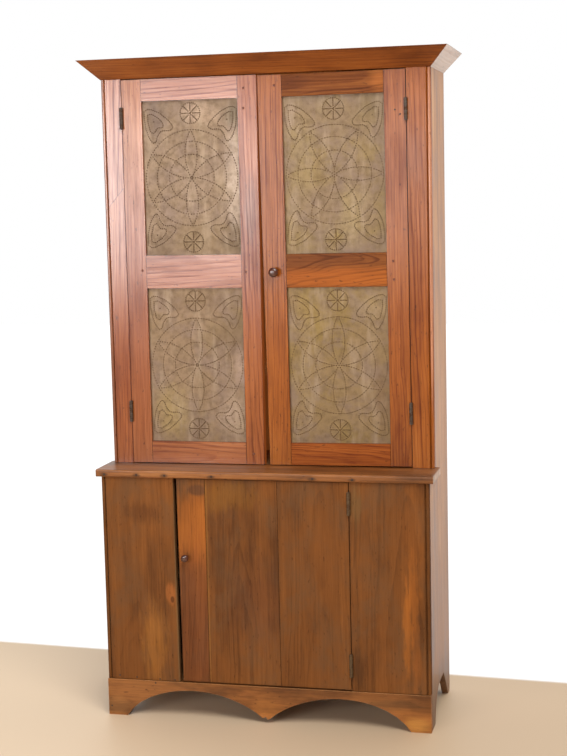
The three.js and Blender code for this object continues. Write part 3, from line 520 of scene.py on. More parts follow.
# %% The material of a board
def pine_material(name, finish, run, centre, seed, heart, ring, taper, wander, patches, gap_light, changes):
    """The material of one board; run names the way its grain goes."""
    recipe = {**PINE_DEFAULTS, **FINISHES[finish], **changes}
    material, shader, place = new_material(name)
    position = board_position(place, run, centre)
    figure = use_group(pine_figure, {
        "Position": position, "Ring width": ring, "Heart across": heart[0], "Heart depth": heart[1],
        "Taper": taper, "Wander": wander, "Seed": seed,
    })
    marks = use_group(age_marks, {"Position": position, "Stretch": (0.35, 1.0, 1.0), "Seed": seed})
    edges = use_group(worn_edges, {"Position": position, "Radius": recipe["edge_reach"], "Raggedness": 0.4})

    fibre = figure["Fibre"] - NOISE_MIDDLE
    value = push(
        recipe["base"], (figure["Streak"] - NOISE_MIDDLE, recipe["streak"]),
        (figure["Broad"] - NOISE_MIDDLE, recipe["broad"]), (fibre, FIBRE_AMOUNT),
        (marks["Cloud"] - NOISE_MIDDLE, recipe["cloud"]),
        (figure["Late wood"], -recipe["figure"]), (marks["Blotch"], -recipe["blotch"]))
    wood = wood_ramp(value, recipe["ramp"])
    if "cast" in recipe:
        cloud = noise(position, 8.0, 5.0, 0.7, (0.6, 1.0, 1.0))
        dulled = remap(cloud, 0.42, 0.68, 0.0, recipe["cast_amount"])
        wood = blend_colour(dulled, wood, tone(*recipe["cast"]))
    grain = remap(value, 0.2, 0.9, 0.55, 1.3, smooth=False)
    # Patches hold stains and wear, and also painted highlights, painted sheen and painted shade.
    for *spot, colour, strength, softness, ragged in patches:
        stain_and_painted_light = scale_vector(tone(*colour)[:3], grain)
        wood = paint_patch(wood, place, spot, stain_and_painted_light, strength, softness, ragged,
                           ALONG_X if run == "X" else ALONG_Z)
    wood = blend_colour(marks["Speck"] * recipe["speck"], wood, tone(*DIRT))
    wood = blend_colour(edges["Edge"] * recipe["edge_amount"], wood, tone(*recipe["edge"]))
    connect(wood, shader["Base Color"])
    if gap_light:
        faint_light(place, shader, *gap_light)

    low, high = recipe["rough"]
    shine = remap(marks["Blotch"], 0.0, 1.0, high, low, smooth=False)
    connect(push(shine, (fibre, 0.2)), shader["Roughness"])
    shader["Specular IOR Level"].default_value = recipe["gloss"]
    if recipe["coat"]:
        left = push(remap(figure["Streak"], 0.3, 0.7, 0.78, 1.2), (figure["Late wood"], -0.4))
        left = left * remap(marks["Cloud"], 0.0, 1.0, 0.7, 1.15) * remap(marks["Blotch"], 0.0, 1.0, 1.1, 0.75)
        connect(left * recipe["coat"], shader["Coat Weight"])
    shader["Coat Roughness"].default_value = 0.2
    shader["Coat IOR"].default_value = recipe["coat_ior"]
    height = push(figure["Late wood"] * 0.5, (figure["Fibre"], 0.6), (figure["Streak"], 0.5),
                  (marks["Dent"], -1.2))
    add_bump(shader, height, 0.4, 0.0008, Normal=edges["Normal"])
    return material


print("marks drawn out along a board:", ", ".join(FINE_MARKS))

# %% [markdown]
# ## Every board gets its finish
# The table names each board, its finish, the way its grain runs, and where the heart
# of its log lay: how far to one side and how deep behind its middle. A heart close
# behind the board gives arches, as on the door rails, and one far to the side gives
# the straight lines of the narrow stiles.

# %% Boards
BOARDS = {
    # name: (finish, run, heart across, heart depth, ring width, taper, wander)
    "face_stile_left": ("upper", "Z", 0.09, 0.05, 0.011, 0.03, 0.03),
    "face_stile_left_splice": ("upper", "Z", 0.05, 0.03, 0.011, 0.03, 0.02),
    "face_stile_right": ("upper", "Z", -0.12, 0.07, 0.011, 0.03, 0.03),
    "head_rail": ("upper", "X", 0.0, 0.06, 0.006, 0.02, 0.02),
    "left_door_hinge_stile": ("upper", "Z", 0.09, 0.06, 0.011, 0.02, 0.03),
    "left_door_meeting_stile": ("upper", "Z", -0.11, 0.09, 0.010, 0.02, 0.03),
    "left_door_top_rail": ("upper", "X", 0.07, 0.05, 0.011, 0.03, 0.03),
    "left_door_middle_rail": ("upper", "X", 0.05, 0.03, 0.011, 0.05, 0.03),
    "left_door_bottom_rail": ("upper", "X", -0.02, 0.03, 0.011, 0.06, 0.04),
    "right_door_hinge_stile": ("upper", "Z", -0.09, 0.05, 0.011, 0.02, 0.03),
    "right_door_meeting_stile": ("upper", "Z", 0.10, 0.06, 0.010, 0.02, 0.03),
    "right_door_top_rail": ("upper", "X", 0.02, 0.03, 0.010, 0.05, 0.04),
    "right_door_middle_rail": ("upper", "X", 0.026, 0.012, 0.009, 0.12, 0.06),
    "right_door_bottom_rail": ("upper", "X", -0.03, 0.04, 0.010, 0.06, 0.04),
    "cornice_front": ("cornice", "X", 0.0, 0.06, 0.007, 0.01, 0.02),
    "cornice_left": ("cornice", "Y", 0.0, 0.06, 0.007, 0.01, 0.02),
    "cornice_right": ("cornice", "Y", 0.0, 0.06, 0.007, 0.01, 0.02),
    "waist_board": ("waist", "X", 0.0, 0.09, 0.007, 0.01, 0.02),
    "skirt": ("skirt", "X", 0.0, 0.06, 0.008, 0.02, 0.04),
    "front_board_left": ("lower", "Z", -0.03, 0.1, 0.011, 0.03, 0.05),
    "front_board_right": ("lower", "Z", 0.05, 0.12, 0.011, 0.03, 0.05),
    "lower_door_board_left": ("lower", "Z", 0.1, 0.05, 0.011, 0.03, 0.05),
    "lower_door_board_middle": ("lower", "Z", 0.0, 0.05, 0.011, 0.03, 0.04),
    "lower_door_board_right": ("lower", "Z", 0.02, 0.06, 0.011, 0.03, 0.04),
    "side_left": ("side", "side", 0.0, -0.15, 0.007, 0.02, 0.05),
    "side_right": ("side", "side", 0.0, 0.15, 0.007, 0.02, 0.05),
    "top_board": ("inside", "shelf", 0.0, -0.1, 0.009, 0.02, 0.05),
    "bottom_board": ("inside", "shelf", 0.0, -0.12, 0.009, 0.02, 0.05),
    "waist_shelf": ("inside", "shelf", 0.05, -0.12, 0.009, 0.02, 0.05),
    "lower_shelf": ("inside", "shelf", -0.04, -0.12, 0.009, 0.02, 0.05),
    "upper_shelf_1": ("inside", "shelf", 0.0, -0.11, 0.009, 0.02, 0.05),
    "upper_shelf_2": ("inside", "shelf", 0.07, -0.12, 0.009, 0.02, 0.05),
    "upper_shelf_3": ("inside", "shelf", -0.06, -0.13, 0.009, 0.02, 0.05),
    "back_board_left": ("inside", "Z", 0.05, -0.14, 0.01, 0.02, 0.06),
    "back_board_middle": ("inside", "Z", -0.03, -0.12, 0.01, 0.02, 0.06),
    "back_board_right": ("inside", "Z", 0.0, -0.16, 0.01, 0.02, 0.06),
    "lower_door_batten_top": ("inside", "X", 0.0, -0.06, 0.008, 0.02, 0.03),
    "lower_door_batten_bottom": ("inside", "X", 0.0, -0.07, 0.008, 0.02, 0.03),
    "right_door_turn": ("inside", "Z", 0.0, 0.06, 0.004, 0.02, 0.01),
    "lower_door_turn": ("inside", "Z", 0.0, 0.06, 0.004, 0.02, 0.01),
}
print("boards:", len(BOARDS))

# %% [markdown]
# ## Where wear and painted light have a place
# On the real cupboard the wood is bright beside the lower knob, rubbed pale on the
# ledge, stained round the nails and darker towards the foot of the sides. Some rows are
# painted light: painted highlights on the beads, on one board edge and on the end of
# the ledge, and a painted sheen and painted shade on the left door's hinge stile. The
# table lists such places board by board, in the plane of the front. The very narrow
# ones are painted highlights on beads and edges, and worn edges. A painted image would
# do it too, but numbers are easy to move when a board moves.

# %% Where wear and painted light have a place
SOFT, CRISP = 2.4, 0.25
PATCHES = {
    # board: centre x and z, half width and height, colour, strength, softness, raggedness
    "lower_door_board_left": [
        (-0.228, 0.62, 0.09, 0.11, (172, 100, 40), 0.72, 0.45, 1.4),
        (-0.222, 0.30, 0.06, 0.26, (124, 68, 38), 0.5, 0.4, 1.2),
        (-0.205, 0.737, 0.03, 0.017, (96, 64, 42), 0.75, 0.3, CRISP),
    ],
    "front_board_left": [
        (-0.36, 0.24, 0.035, 0.11, (168, 108, 46), 0.55, 0.7, SOFT),
        (-0.305, 0.405, 0.016, 0.03, (164, 98, 48), 0.75, 0.4, 1.6),
        (-0.297, 0.385, 0.006, 0.010, (84, 48, 24), 0.8, 0.3, 0.5),
        (-0.39, 0.66, 0.05, 0.03, (80, 48, 26), 0.5, 0.6, SOFT),
        # Painted highlight: the lit edge of the board beside the door gap.
        (-0.2815, 0.45, 0.0042, 0.40, (112, 92, 62), 0.5, 0.25, 0.8),
    ],
    "lower_door_board_middle": [
        (-0.11, 0.72, 0.09, 0.04, (150, 98, 34), 0.45, 0.6, SOFT),
        (-0.178, 0.45, 0.003, 0.34, (146, 98, 46), 0.6, 0.3, CRISP),
        (-0.02, 0.38, 0.09, 0.12, (104, 62, 42), 0.3, 0.7, SOFT),
    ],
    "front_board_right": [
        (0.468, 0.42, 0.018, 0.12, (164, 96, 38), 0.6, 0.5, 2.6),
        (0.448, 0.32, 0.014, 0.14, (166, 98, 38), 0.6, 0.5, 2.6),
        (0.478, 0.24, 0.012, 0.10, (156, 92, 40), 0.5, 0.5, 2.6),
        (0.47, 0.6, 0.03, 0.15, (150, 88, 36), 0.4, 0.7, SOFT),
        (0.30, 0.19, 0.018, 0.05, (78, 50, 28), 0.5, 0.6, SOFT),
        (0.295, 0.70, 0.015, 0.06, (112, 86, 50), 0.5, 0.6, SOFT),
    ],
    "skirt": [
        (-0.36, 0.08, 0.2, 0.06, (170, 112, 62), 0.45, 0.6, 1.2),
        (-0.49, 0.03, 0.04, 0.03, (186, 128, 72), 0.5, 0.5, 1.2),
        (0.28, 0.10, 0.2, 0.04, (104, 64, 32), 0.5, 0.6, 1.2),
        (0.47, 0.035, 0.06, 0.045, (160, 98, 44), 0.6, 0.5, 1.2),
        (0.475, 0.022, 0.035, 0.022, (196, 138, 64), 0.6, 0.6, 1.2),
        (0.40, 0.085, 0.08, 0.014, (112, 78, 44), 0.4, 0.6, SOFT),
        (0.0, 0.04, 0.05, 0.05, (172, 108, 50), 0.6, 0.5, 1.2),
    ],
    "right_door_middle_rail": [
        (0.24, 1.385, 0.3, 0.03, (176, 96, 34), 0.75, 0.5, 0.5),
    ],
    "right_door_top_rail": [
        (0.37, 1.975, 0.03, 0.03, (170, 100, 46), 0.6, 0.6, 1.2),
    ],
    "left_door_meeting_stile": [
        (-0.045, 1.60, 0.02, 0.10, (112, 78, 66), 0.5, 0.6, 1.2),
        (-0.05, 1.05, 0.03, 0.2, (160, 92, 34), 0.4, 0.7, 1.2),
    ],
    "left_door_hinge_stile": [
        # Painted sheen towards the top of the stile, and painted shade lower down.
        (-0.42, 1.85, 0.06, 0.22, (206, 140, 92), 0.4, 0.7, 0.8),
        (-0.42, 1.0, 0.06, 0.3, (128, 68, 30), 0.4, 0.7, 0.8),
    ],
    "waist_board": [
        (-0.36, 0.767, 0.2, 0.008, (206, 124, 82), 0.7, 0.3, 0.8),
        (0.1, 0.767, 0.3, 0.005, (176, 128, 80), 0.4, 0.4, 1.2),
        # Painted highlight on the lit end grain of the ledge.
        (0.545, 0.785, 0.012, 0.03, (222, 178, 140), 0.9, 0.15, CRISP),
    ] + [
        (x, 0.7815, 0.012, 0.006, (66, 38, 18), 0.7, 0.5, 1.4)
        for x in (-0.5065, -0.4005, -0.3088, -0.1566, 0.163, 0.2867)
    ],
    **{side: [
        (0.0, 0.9, 2.0, 0.5, (158, 106, 64), 0.3, 0.7, 0.6),
        (0.0, 0.2, 2.0, 0.45, (144, 98, 60), 0.7, 0.7, 0.8),
        (0.0, 0.04, 2.0, 0.1, (92, 66, 46), 0.6, 0.7, 0.8),
    ] for side in ("side_left", "side_right")},
    "right_door_meeting_stile": [
        (0.03, 1.08, 0.04, 0.2, (172, 96, 32), 0.4, 0.7, 1.2),
    ],
    "face_stile_left": [
        # Painted highlight along the corner bead.
        (-0.515, 1.3, 0.0052, 0.8, (150, 98, 74), 0.9, 0.1, CRISP),
    ],
    "face_stile_left_splice": [
        # Painted highlight along the corner bead.
        (-0.515, 1.8, 0.0052, 0.4, (150, 98, 74), 0.9, 0.1, CRISP),
    ],
    "face_stile_right": [
        # Painted highlight along the corner bead.
        (0.515, 1.6, 0.0052, 0.6, (206, 142, 108), 0.75, 0.1, CRISP),
        (0.455, 1.75, 0.04, 0.08, (134, 84, 62), 0.45, 0.6, 1.6),
    ],
}
print("patches:", sum(map(len, PATCHES.values())))

# %% [markdown]
# ## Gaps, exceptions and the dressing
# The old doors don't quite meet, and brown wood is seen through the gap and in the
# joints at the hinges. The first table says which faces lie there. The second says
# where a board differs from its finish, because two boards are never from one tree.
# Then every board gets a material of its own.

# %% Dress the boards
FROM, UP_TO = "GREATER_THAN", "LESS_THAN"
SKIN = 0.001
DOOR_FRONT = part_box("left_door_hinge_stile")[0].y
MEETING_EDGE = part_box("left_door_meeting_stile")[1].x - 0.0045  # the edge is planed out of true
GAP_START, JOINT_START, JOINT_END = DOOR_FRONT + 0.0012, DOOR_FRONT + 0.0008, DOOR_FRONT + 0.008
INSIDE_LIGHT = ([("Z", FROM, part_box("waist_board")[1].z),
                 ("Y", UP_TO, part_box("back_board_middle")[0].y + SKIN)], (84, 42, 14))


def joint_light(board, colour):
    """Light on the right-hand edge of a board, as far in as the camera sees it through a joint."""
    return [("X", FROM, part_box(board)[1].x - SKIN), ("Y", FROM, JOINT_START), ("Y", UP_TO, JOINT_END)], colour


GAP_LIGHT = {
    # what a narrow gap or joint shows: limits along the axes, colour
    "left_door_meeting_stile": ([("X", FROM, MEETING_EDGE), ("Y", FROM, GAP_START)], (92, 46, 18)),
    **dict.fromkeys(("back_board_left", "back_board_middle",
                     "upper_shelf_1", "upper_shelf_2", "upper_shelf_3"), INSIDE_LIGHT),
    **{board: joint_light(board, colour) for board, colour in (
        ("face_stile_left", (104, 56, 36)), ("face_stile_left_splice", (104, 62, 46)),
        ("right_door_hinge_stile", (104, 56, 32)))},
}
DARK_RAMP = ((66, 30, 8), (98, 50, 18), (132, 76, 30), (164, 106, 52))
CHANGES = {
    # where one board differs from its finish's recipe
    "right_door_middle_rail": dict(figure=0.42, coat=0.05, ramp=DARK_RAMP, base=0.58, streak=0.5),
    "right_door_top_rail": dict(figure=0.36, coat=0.05, ramp=DARK_RAMP, base=0.62),
    "right_door_bottom_rail": dict(figure=0.3, coat=0.1, base=0.6),
    "right_door_meeting_stile": dict(coat=0.5, figure=0.3, base=0.59,
                                     ramp=((66, 25, 5), (112, 52, 12), (154, 84, 18), (184, 112, 40))),
    "right_door_hinge_stile": dict(coat=0.66, base=0.55, figure=0.22,
                                   ramp=((66, 25, 6), (112, 52, 16), (154, 84, 24), (184, 112, 46))),
    "face_stile_right": dict(coat=0.62, base=0.58, figure=0.22,
                             ramp=((66, 25, 5), (112, 52, 14), (154, 83, 20), (184, 112, 42))),
    "left_door_hinge_stile": dict(figure=0.24, base=0.64, coat_ior=1.55),
    "left_door_top_rail": dict(figure=0.26, coat_ior=1.66, streak=0.5),
    "left_door_middle_rail": dict(figure=0.28, coat_ior=1.55, streak=0.5),
    "left_door_bottom_rail": dict(figure=0.36, coat_ior=1.66),
    "face_stile_left_splice": dict(figure=0.36, streak=1.0, base=0.66, coat_ior=1.66),
    "face_stile_left": dict(coat_ior=1.55, base=0.57),
    "cornice_right": dict(coat=0.5, gloss=0.6, streak=0.5,
                          ramp=((150, 104, 66), (184, 140, 100), (208, 168, 132), (228, 196, 166))),
    "lower_door_board_left": dict(figure=0.2, streak=0.7),
}


def dress(node_name, material):
    """Puts one material on a solid."""
    mesh = nodes[node_name].data
    mesh.materials.clear()
    mesh.materials.append(material)


for number, (board, row) in enumerate(BOARDS.items()):
    finish, run, across, depth, *growth = row
    low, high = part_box(board)
    dress(board, pine_material(f"pine_{board}", finish, run, (low + high) / 2, 3.7 * number + 1.3,
                               (across, depth), *growth, PATCHES.get(board, ()), GAP_LIGHT.get(board),
                               CHANGES.get(board, {})))
print("boards dressed:", len(BOARDS))

# %% [markdown]
# ## Old iron
# The hinges are small cast butts that have gone grey-brown, with rust in the joints
# and bare metal where the knuckles rub. Noise mixes the two colours and pits the
# surface.

# %% Iron
def iron_material(name, plain, rusty, worn, metal):
    material, shader, place = new_material(name)
    edges = use_group(worn_edges, {"Position": place, "Radius": 0.0008, "Raggedness": 0.4})
    rust = remap(noise(place, 90.0, 4.0, 0.65), 0.4, 0.65)
    colour = blend_colour(rust, tone(*plain), tone(*rusty))
    connect(blend_colour(edges["Edge"] * 0.6, colour, tone(*worn)), shader["Base Color"])
    shader["Metallic"].default_value = metal
    connect(remap(rust, 0.0, 1.0, 0.42, 0.75), shader["Roughness"])
    add_bump(shader, noise(place, 700.0, 3.0, 0.6), 0.4, 0.0004, Normal=edges["Normal"])
    return material


old_iron = iron_material("old_iron", (92, 82, 74), (82, 56, 40), (136, 126, 116), 0.7)
finished_over = iron_material("iron_finished_over", (88, 68, 42), (76, 50, 28), (104, 82, 54), 0.1)
hinge_nodes = [name for name in nodes if "_hinge_" in name and name.endswith("_leaf")]
for name in hinge_nodes:
    dress(name, finished_over if name.startswith("lower") else old_iron)
print("hinge leaves:", len(hinge_nodes))

# %% [markdown]
# ## The punched tins: the pattern
# Each tin is a sheet of tinplate, punched before it was set in the door. The pattern
# is a traditional one: three rings, a six-petalled compass flower whose petals are
# arcs of the same radius as the outer ring, a spoked rosette above and below, and a
# double heart in each corner with its point to the corner. The lines are worked out
# here as plain polylines in the plane of the sheet. On three of the tins a petal
# points up, and on the right door's upper tin the flower is turned by a right angle.

# %% Pattern lines
RING_SHARES = (1.0, 0.757, 0.487)
FLOWER_SHARE = 0.478
ROSETTE_SHARE = 0.104
ROSETTE_DROP_SHARE = 0.131
SPOKES = 8
SPOKE_STRIKES = (0.013, 0.028, 0.044, 0.060, 0.076, 0.091)
RING_GAP, PETAL_GAP, HEART_GAP = 0.0086, 0.0078, 0.0064
# The heart's outlines, in shares of the sight's width from its corner
HEART_OUTER = [(0.021, 0.105), (0.049, 0.080), (0.096, 0.084), (0.182, 0.122), (0.259, 0.185),
               (0.305, 0.235), (0.318, 0.268), (0.300, 0.290), (0.268, 0.299), (0.216, 0.295),
               (0.182, 0.309), (0.152, 0.352), (0.139, 0.400), (0.118, 0.420), (0.092, 0.405),
               (0.058, 0.350), (0.034, 0.281), (0.021, 0.190), (0.021, 0.105)]
HEART_INNER = [(0.058, 0.136), (0.096, 0.128), (0.165, 0.169), (0.208, 0.215), (0.218, 0.250),
               (0.206, 0.268), (0.160, 0.266), (0.139, 0.289), (0.122, 0.316), (0.105, 0.322),
               (0.079, 0.297), (0.064, 0.239), (0.056, 0.190), (0.058, 0.136)]
HEART_DOT = (0.120, 0.205)


def arc_line(centre_x, centre_z, radius, start, end, count):
    steps = [start + (end - start) * i / count for i in range(count + 1)]
    return [(centre_x + radius * math.cos(a), centre_z + radius * math.sin(a)) for a in steps]


def strike(x, z):
    """One blow of the punch, as a line too short for a second."""
    return HEART_GAP, [(x, z), (x + 0.0005, z)]


def heart_lines(corner_x, corner_z, width):
    """Outer and inner outline of a heart whose point looks to the corner, and its dot."""
    flip_x, flip_z = -math.copysign(1, corner_x), -math.copysign(1, corner_z)
    lines = [(HEART_GAP, [(corner_x + flip_x * width * u, corner_z + flip_z * width * v) for u, v in outline])
             for outline in (HEART_OUTER, HEART_INNER)]
    lines.append(strike(corner_x + flip_x * width * HEART_DOT[0], corner_z + flip_z * width * HEART_DOT[1]))
    return lines


def pattern_lines(width, height, quarter_turn):
    """All lines of one tin, each with its punch's step; width and height are those of the sight."""
    outer = FLOWER_SHARE * width
    lines = [(RING_GAP, arc_line(0, 0, outer * share, 0, 2 * math.pi, 90)) for share in RING_SHARES]
    first = 0 if quarter_turn else math.pi / 2
    for petal in range(6):
        angle = first + petal * math.pi / 3
        lines.append((PETAL_GAP, arc_line(outer * math.cos(angle), outer * math.sin(angle), outer,
                                          angle + math.pi * 2 / 3, angle + math.pi * 4 / 3, 30)))
    for end in (-1, 1):
        middle = end * (height / 2 - ROSETTE_DROP_SHARE * width)
        lines.append((HEART_GAP, arc_line(0, middle, ROSETTE_SHARE * width, 0, 2 * math.pi, 30)))
        lines.append(strike(0, middle))
        for spoke in range(SPOKES):
            angle = math.pi / 2 + spoke * 2 * math.pi / SPOKES
            lines += [strike(share * width * math.cos(angle), middle + share * width * math.sin(angle))
                      for share in SPOKE_STRIKES]
        for flank in (-1, 1):
            lines += heart_lines(flank * width / 2, end * height / 2, width)
    return lines


print("lines in a tin:", len(pattern_lines(0.31, 0.48, False)))

# %% [markdown]
# ## The punched tins: the sheet
# A tinsmith walks a punch along each line and strikes it every few millimetres. The
# node tree does the same: it turns the lines into curves, sets points along them at
# the punch's spacing, and drops points that lie too close where lines cross. A short
# rod at each point is cut from the sheet, which leaves real holes, and a small raised
# ring round each hole is the burr. Last, the sheet is bent a little, because a thin
# sheet held by its edges never lies flat. The sizes are the tree's inputs.

# %% Geometry nodes: punched tin
SHEET_STEPS = {"Vertices X": 28, "Vertices Y": 2, "Vertices Z": 42}
ROD_LENGTH = 0.01
BURR_TOP, BURR_FOOT = 1.15, 0.8  # times the hole's radius
TOWARDS_FRONT = (math.pi / 2, 0.0, 0.0)


def geometry_tree(name, inputs):
    """A geometry tree with named inputs; returns it with its ends and socket names."""
    tree = bpy.data.node_groups.new(name, "GeometryNodeTree")
    return (tree, *open_tree(tree, [("Geometry", "Geometry", None), *inputs], [("Geometry", "Geometry")]))


def join(*meshes):
    node = tree_of(*meshes).nodes.new("GeometryNodeJoinGeometry")
    for mesh in meshes:
        connect(mesh, node.inputs[0])
    return Wire(node.outputs[0])


def make_punched_tin_tree():
    tree, given, result, sockets = geometry_tree("punched_tin", [
        ("Width", "Float", 0.334), ("Height", "Float", 0.5), ("Thickness", "Float", 0.0006),
        ("Closest", "Float", 0.0032), ("Hole radius", "Float", 0.0011), ("Burr radius", "Float", 0.0022),
        ("Burr height", "Float", 0.0007), ("Buckle", "Float", 0.002), ("Seed", "Float", 0.0),
        ("Material", "Material", None),
    ])
    width, height, hole = given["Width"], given["Height"], given["Hole radius"]

    def set_on(points, piece):
        """A copy of the piece on each point, with its axis towards the front."""
        copies = add_node(tree, "GeometryNodeInstanceOnPoints", {
            "Points": points, "Instance": piece, "Rotation": TOWARDS_FRONT})
        return add_node(tree, "GeometryNodeRealizeInstances", {"Geometry": copies})

    def cone(foot):
        return add_node(tree, "GeometryNodeMeshCone", {
            "Vertices": 8, "Radius Top": hole * BURR_TOP, "Radius Bottom": foot,
            "Depth": given["Burr height"]}, "Mesh", fill_type="NONE")

    # Points along the lines, at each line's own spacing
    curve = add_node(tree, "GeometryNodeMeshToCurve", {"Mesh": given["Geometry"]})
    step = add_node(tree, "GeometryNodeInputNamedAttribute", {"Name": "punch_step"}, "Attribute",
                    data_type="FLOAT")
    strikes = add_node(tree, "GeometryNodeCurveToPoints", {"Curve": curve, "Length": step}, "Points",
                       mode="LENGTH")
    apart = add_node(tree, "GeometryNodeMergeByDistance", {"Geometry": strikes, "Distance": given["Closest"]})
    # The sheet, less a rod at each point
    rod = add_node(tree, "GeometryNodeMeshCylinder", {
        "Vertices": 7, "Radius": hole, "Depth": ROD_LENGTH}, "Mesh")
    size = combine(width, given["Thickness"], height)
    sheet = add_node(tree, "GeometryNodeMeshCube", {"Size": size, **SHEET_STEPS}, "Mesh")
    punched = add_node(tree, "GeometryNodeMeshBoolean", {
        "Mesh 1": sheet, "Mesh 2": set_on(apart, rod)}, "Mesh", operation="DIFFERENCE", solver="MANIFOLD")
    # A burr on the front face round each hole
    inner = add_node(tree, "GeometryNodeFlipFaces", {"Mesh": cone(hole * BURR_FOOT)})
    seat = add_node(tree, "GeometryNodeSetPosition", {
        "Geometry": apart, "Offset": combine(y=given["Thickness"] * -0.5)})
    burrs = add_node(tree, "GeometryNodeStoreNamedAttribute", {
        "Geometry": set_on(seat, join(cone(given["Burr radius"]), inner)), "Name": "burr", "Value": 1.0},
        data_type="FLOAT", domain="POINT")
    # The buckle, which dies away towards the edges
    place = add_node(tree, "GeometryNodeInputPosition")
    x, _, z = split(place)
    free = (remap(calc("ABSOLUTE", x) / (width * 0.5), 0.7, 0.93, 1.0, 0.0)
            * remap(calc("ABSOLUTE", z) / (height * 0.5), 0.8, 0.955, 1.0, 0.0))
    wave = noise(place + combine(z=given["Seed"]), 7.0, 1.0, 0.4)
    bent = add_node(tree, "GeometryNodeSetPosition", {
        "Geometry": join(punched, burrs), "Offset": combine(y=wave * free * (given["Buckle"] * -1.0))})
    real = add_node(tree, "GeometryNodeRealizeInstances", {"Geometry": bent})
    coloured = add_node(tree, "GeometryNodeSetMaterial", {"Geometry": real, "Material": given["Material"]})
    connect(coloured, result["Geometry"])
    return tree, sockets


punched_tin_tree, tin_sockets = make_punched_tin_tree()
print("tree", punched_tin_tree.name, "inputs:", ", ".join(tin_sockets))

# %% [markdown]
# ## Aged tinplate
# Bright tin dulls to a brown-grey with an olive cast, and goes yellower where an old
# coat of varnish has crept over it. It stays a metal, so the colour sits in a metallic
# shader with a fairly rough surface. Rust gathers round each punched hole, which is
# why the burrs carry an attribute of their own.

# %% Tin
TIN_PATCH = (0.7, 1.8, (40.0, 40.0, 22.0))  # softness, raggedness, grain
GREYED, GRIME, SMEAR = (126, 106, 94), (96, 76, 56), (164, 144, 120)


def tin_material(name, seed, plain, cast, burr_tone, patches):
    """One tin's finish; the tones and the patches differ from tin to tin."""
    material, shader, on_door = new_material(name)
    place = on_door + (seed, 0.0, seed)
    fine = noise(place, 60.0, 5.0, 0.75)
    smear = noise(place, 1.0, 3.0, 0.6, (30.0, 10.0, 6.0))
    colour = blend_colour(remap(noise(place, 5.0, 4.0, 0.6), 0.4, 0.7), tone(*plain), tone(*cast))
    greyed = remap(noise(place, 11.0, 5.0, 0.7), 0.42, 0.66, 0.0, 0.6)
    colour = blend_colour(greyed, colour, tone(*GREYED))
    # The brighter patches are painted highlights on the metal.
    for *spot, shade, strength in patches:
        colour = paint_patch(colour, on_door, spot, tone(*shade), strength, *TIN_PATCH)
    colour = blend_colour(remap(fine, 0.42, 0.75, 0.0, 0.5), colour, tone(*GRIME))
    colour = blend_colour(remap(smear, 0.5, 0.75, 0.0, 0.5), colour, tone(*SMEAR))
    burr = add_node(tree_of(place), "ShaderNodeAttribute", output="Fac", attribute_name="burr")
    connect(blend_colour(burr * 0.85, colour, tone(*burr_tone)), shader["Base Color"])
    connect(burr * -0.4 + 0.45, shader["Metallic"])
    connect(remap(fine, 0.3, 0.7, 0.44, 0.6), shader["Roughness"])
    add_bump(shader, noise(place, 240.0, 3.0, 0.6), 0.25, 0.0004)
    return material


print("tin finish ready")

# %% [markdown]
# ## Four tins for two doors
# Each tin takes its size from the solid that it stands for, and hangs with its door:
# the right door sags a little, so its tins are turned by the same small angle. The
# rows give each tin's tones, the places where it is yellower or darker, and painted
# highlights where it is brighter.

# %% Build the four tins
TIN_HIDDEN_EDGE = 0.0114
SAG = math.atan2(-next(j for j in frame["joints"] if j["name"] == "right_door_swing")["axis"][0], 1.0)
TINS = {
    # tin: (door, sag, flower turned, plain, cast, burr, patches: x, z, half sizes, shade, strength; the
    # brighter patches are painted highlights)
    "left_door_upper_tin": ("left_door", 0.0, False, (140, 118, 96), (130, 108, 80), (72, 54, 36), [
        (-0.085, 1.70, 0.03, 0.14, (198, 180, 164), 0.6), (-0.20, 1.90, 0.05, 0.03, (184, 158, 134), 0.5),
        (-0.345, 1.88, 0.03, 0.05, (108, 92, 84), 0.6), (-0.095, 1.89, 0.03, 0.03, (100, 92, 72), 0.6),
        (-0.10, 1.50, 0.04, 0.05, (102, 86, 66), 0.5), (-0.34, 1.48, 0.03, 0.05, (104, 84, 60), 0.5)]),
    "left_door_lower_tin": ("left_door", 0.0, False, (136, 112, 86), (128, 106, 68), (92, 70, 44), [
        (-0.32, 0.965, 0.045, 0.07, (160, 138, 82), 0.5), (-0.115, 0.95, 0.04, 0.06, (176, 154, 134), 0.5),
        (-0.09, 1.12, 0.02, 0.06, (180, 156, 144), 0.45),
        (-0.12, 1.20, 0.06, 0.06, (108, 86, 64), 0.5), (-0.22, 1.32, 0.08, 0.03, (112, 88, 58), 0.4)]),
    "right_door_upper_tin": ("right_door", SAG, True, (130, 108, 82), (134, 112, 66), (96, 74, 46), [
        (0.27, 1.58, 0.03, 0.08, (166, 146, 92), 0.35), (0.12, 1.75, 0.03, 0.12, (152, 132, 92), 0.3),
        (0.34, 1.90, 0.04, 0.04, (110, 92, 62), 0.5)]),
    "right_door_lower_tin": ("right_door", SAG, False, (134, 110, 76), (130, 106, 58), (98, 74, 42), [
        (0.14, 1.25, 0.04, 0.08, (146, 122, 66), 0.35), (0.33, 1.30, 0.05, 0.03, (160, 138, 104), 0.4),
        (0.36, 1.00, 0.02, 0.10, (112, 84, 58), 0.5)]),
}


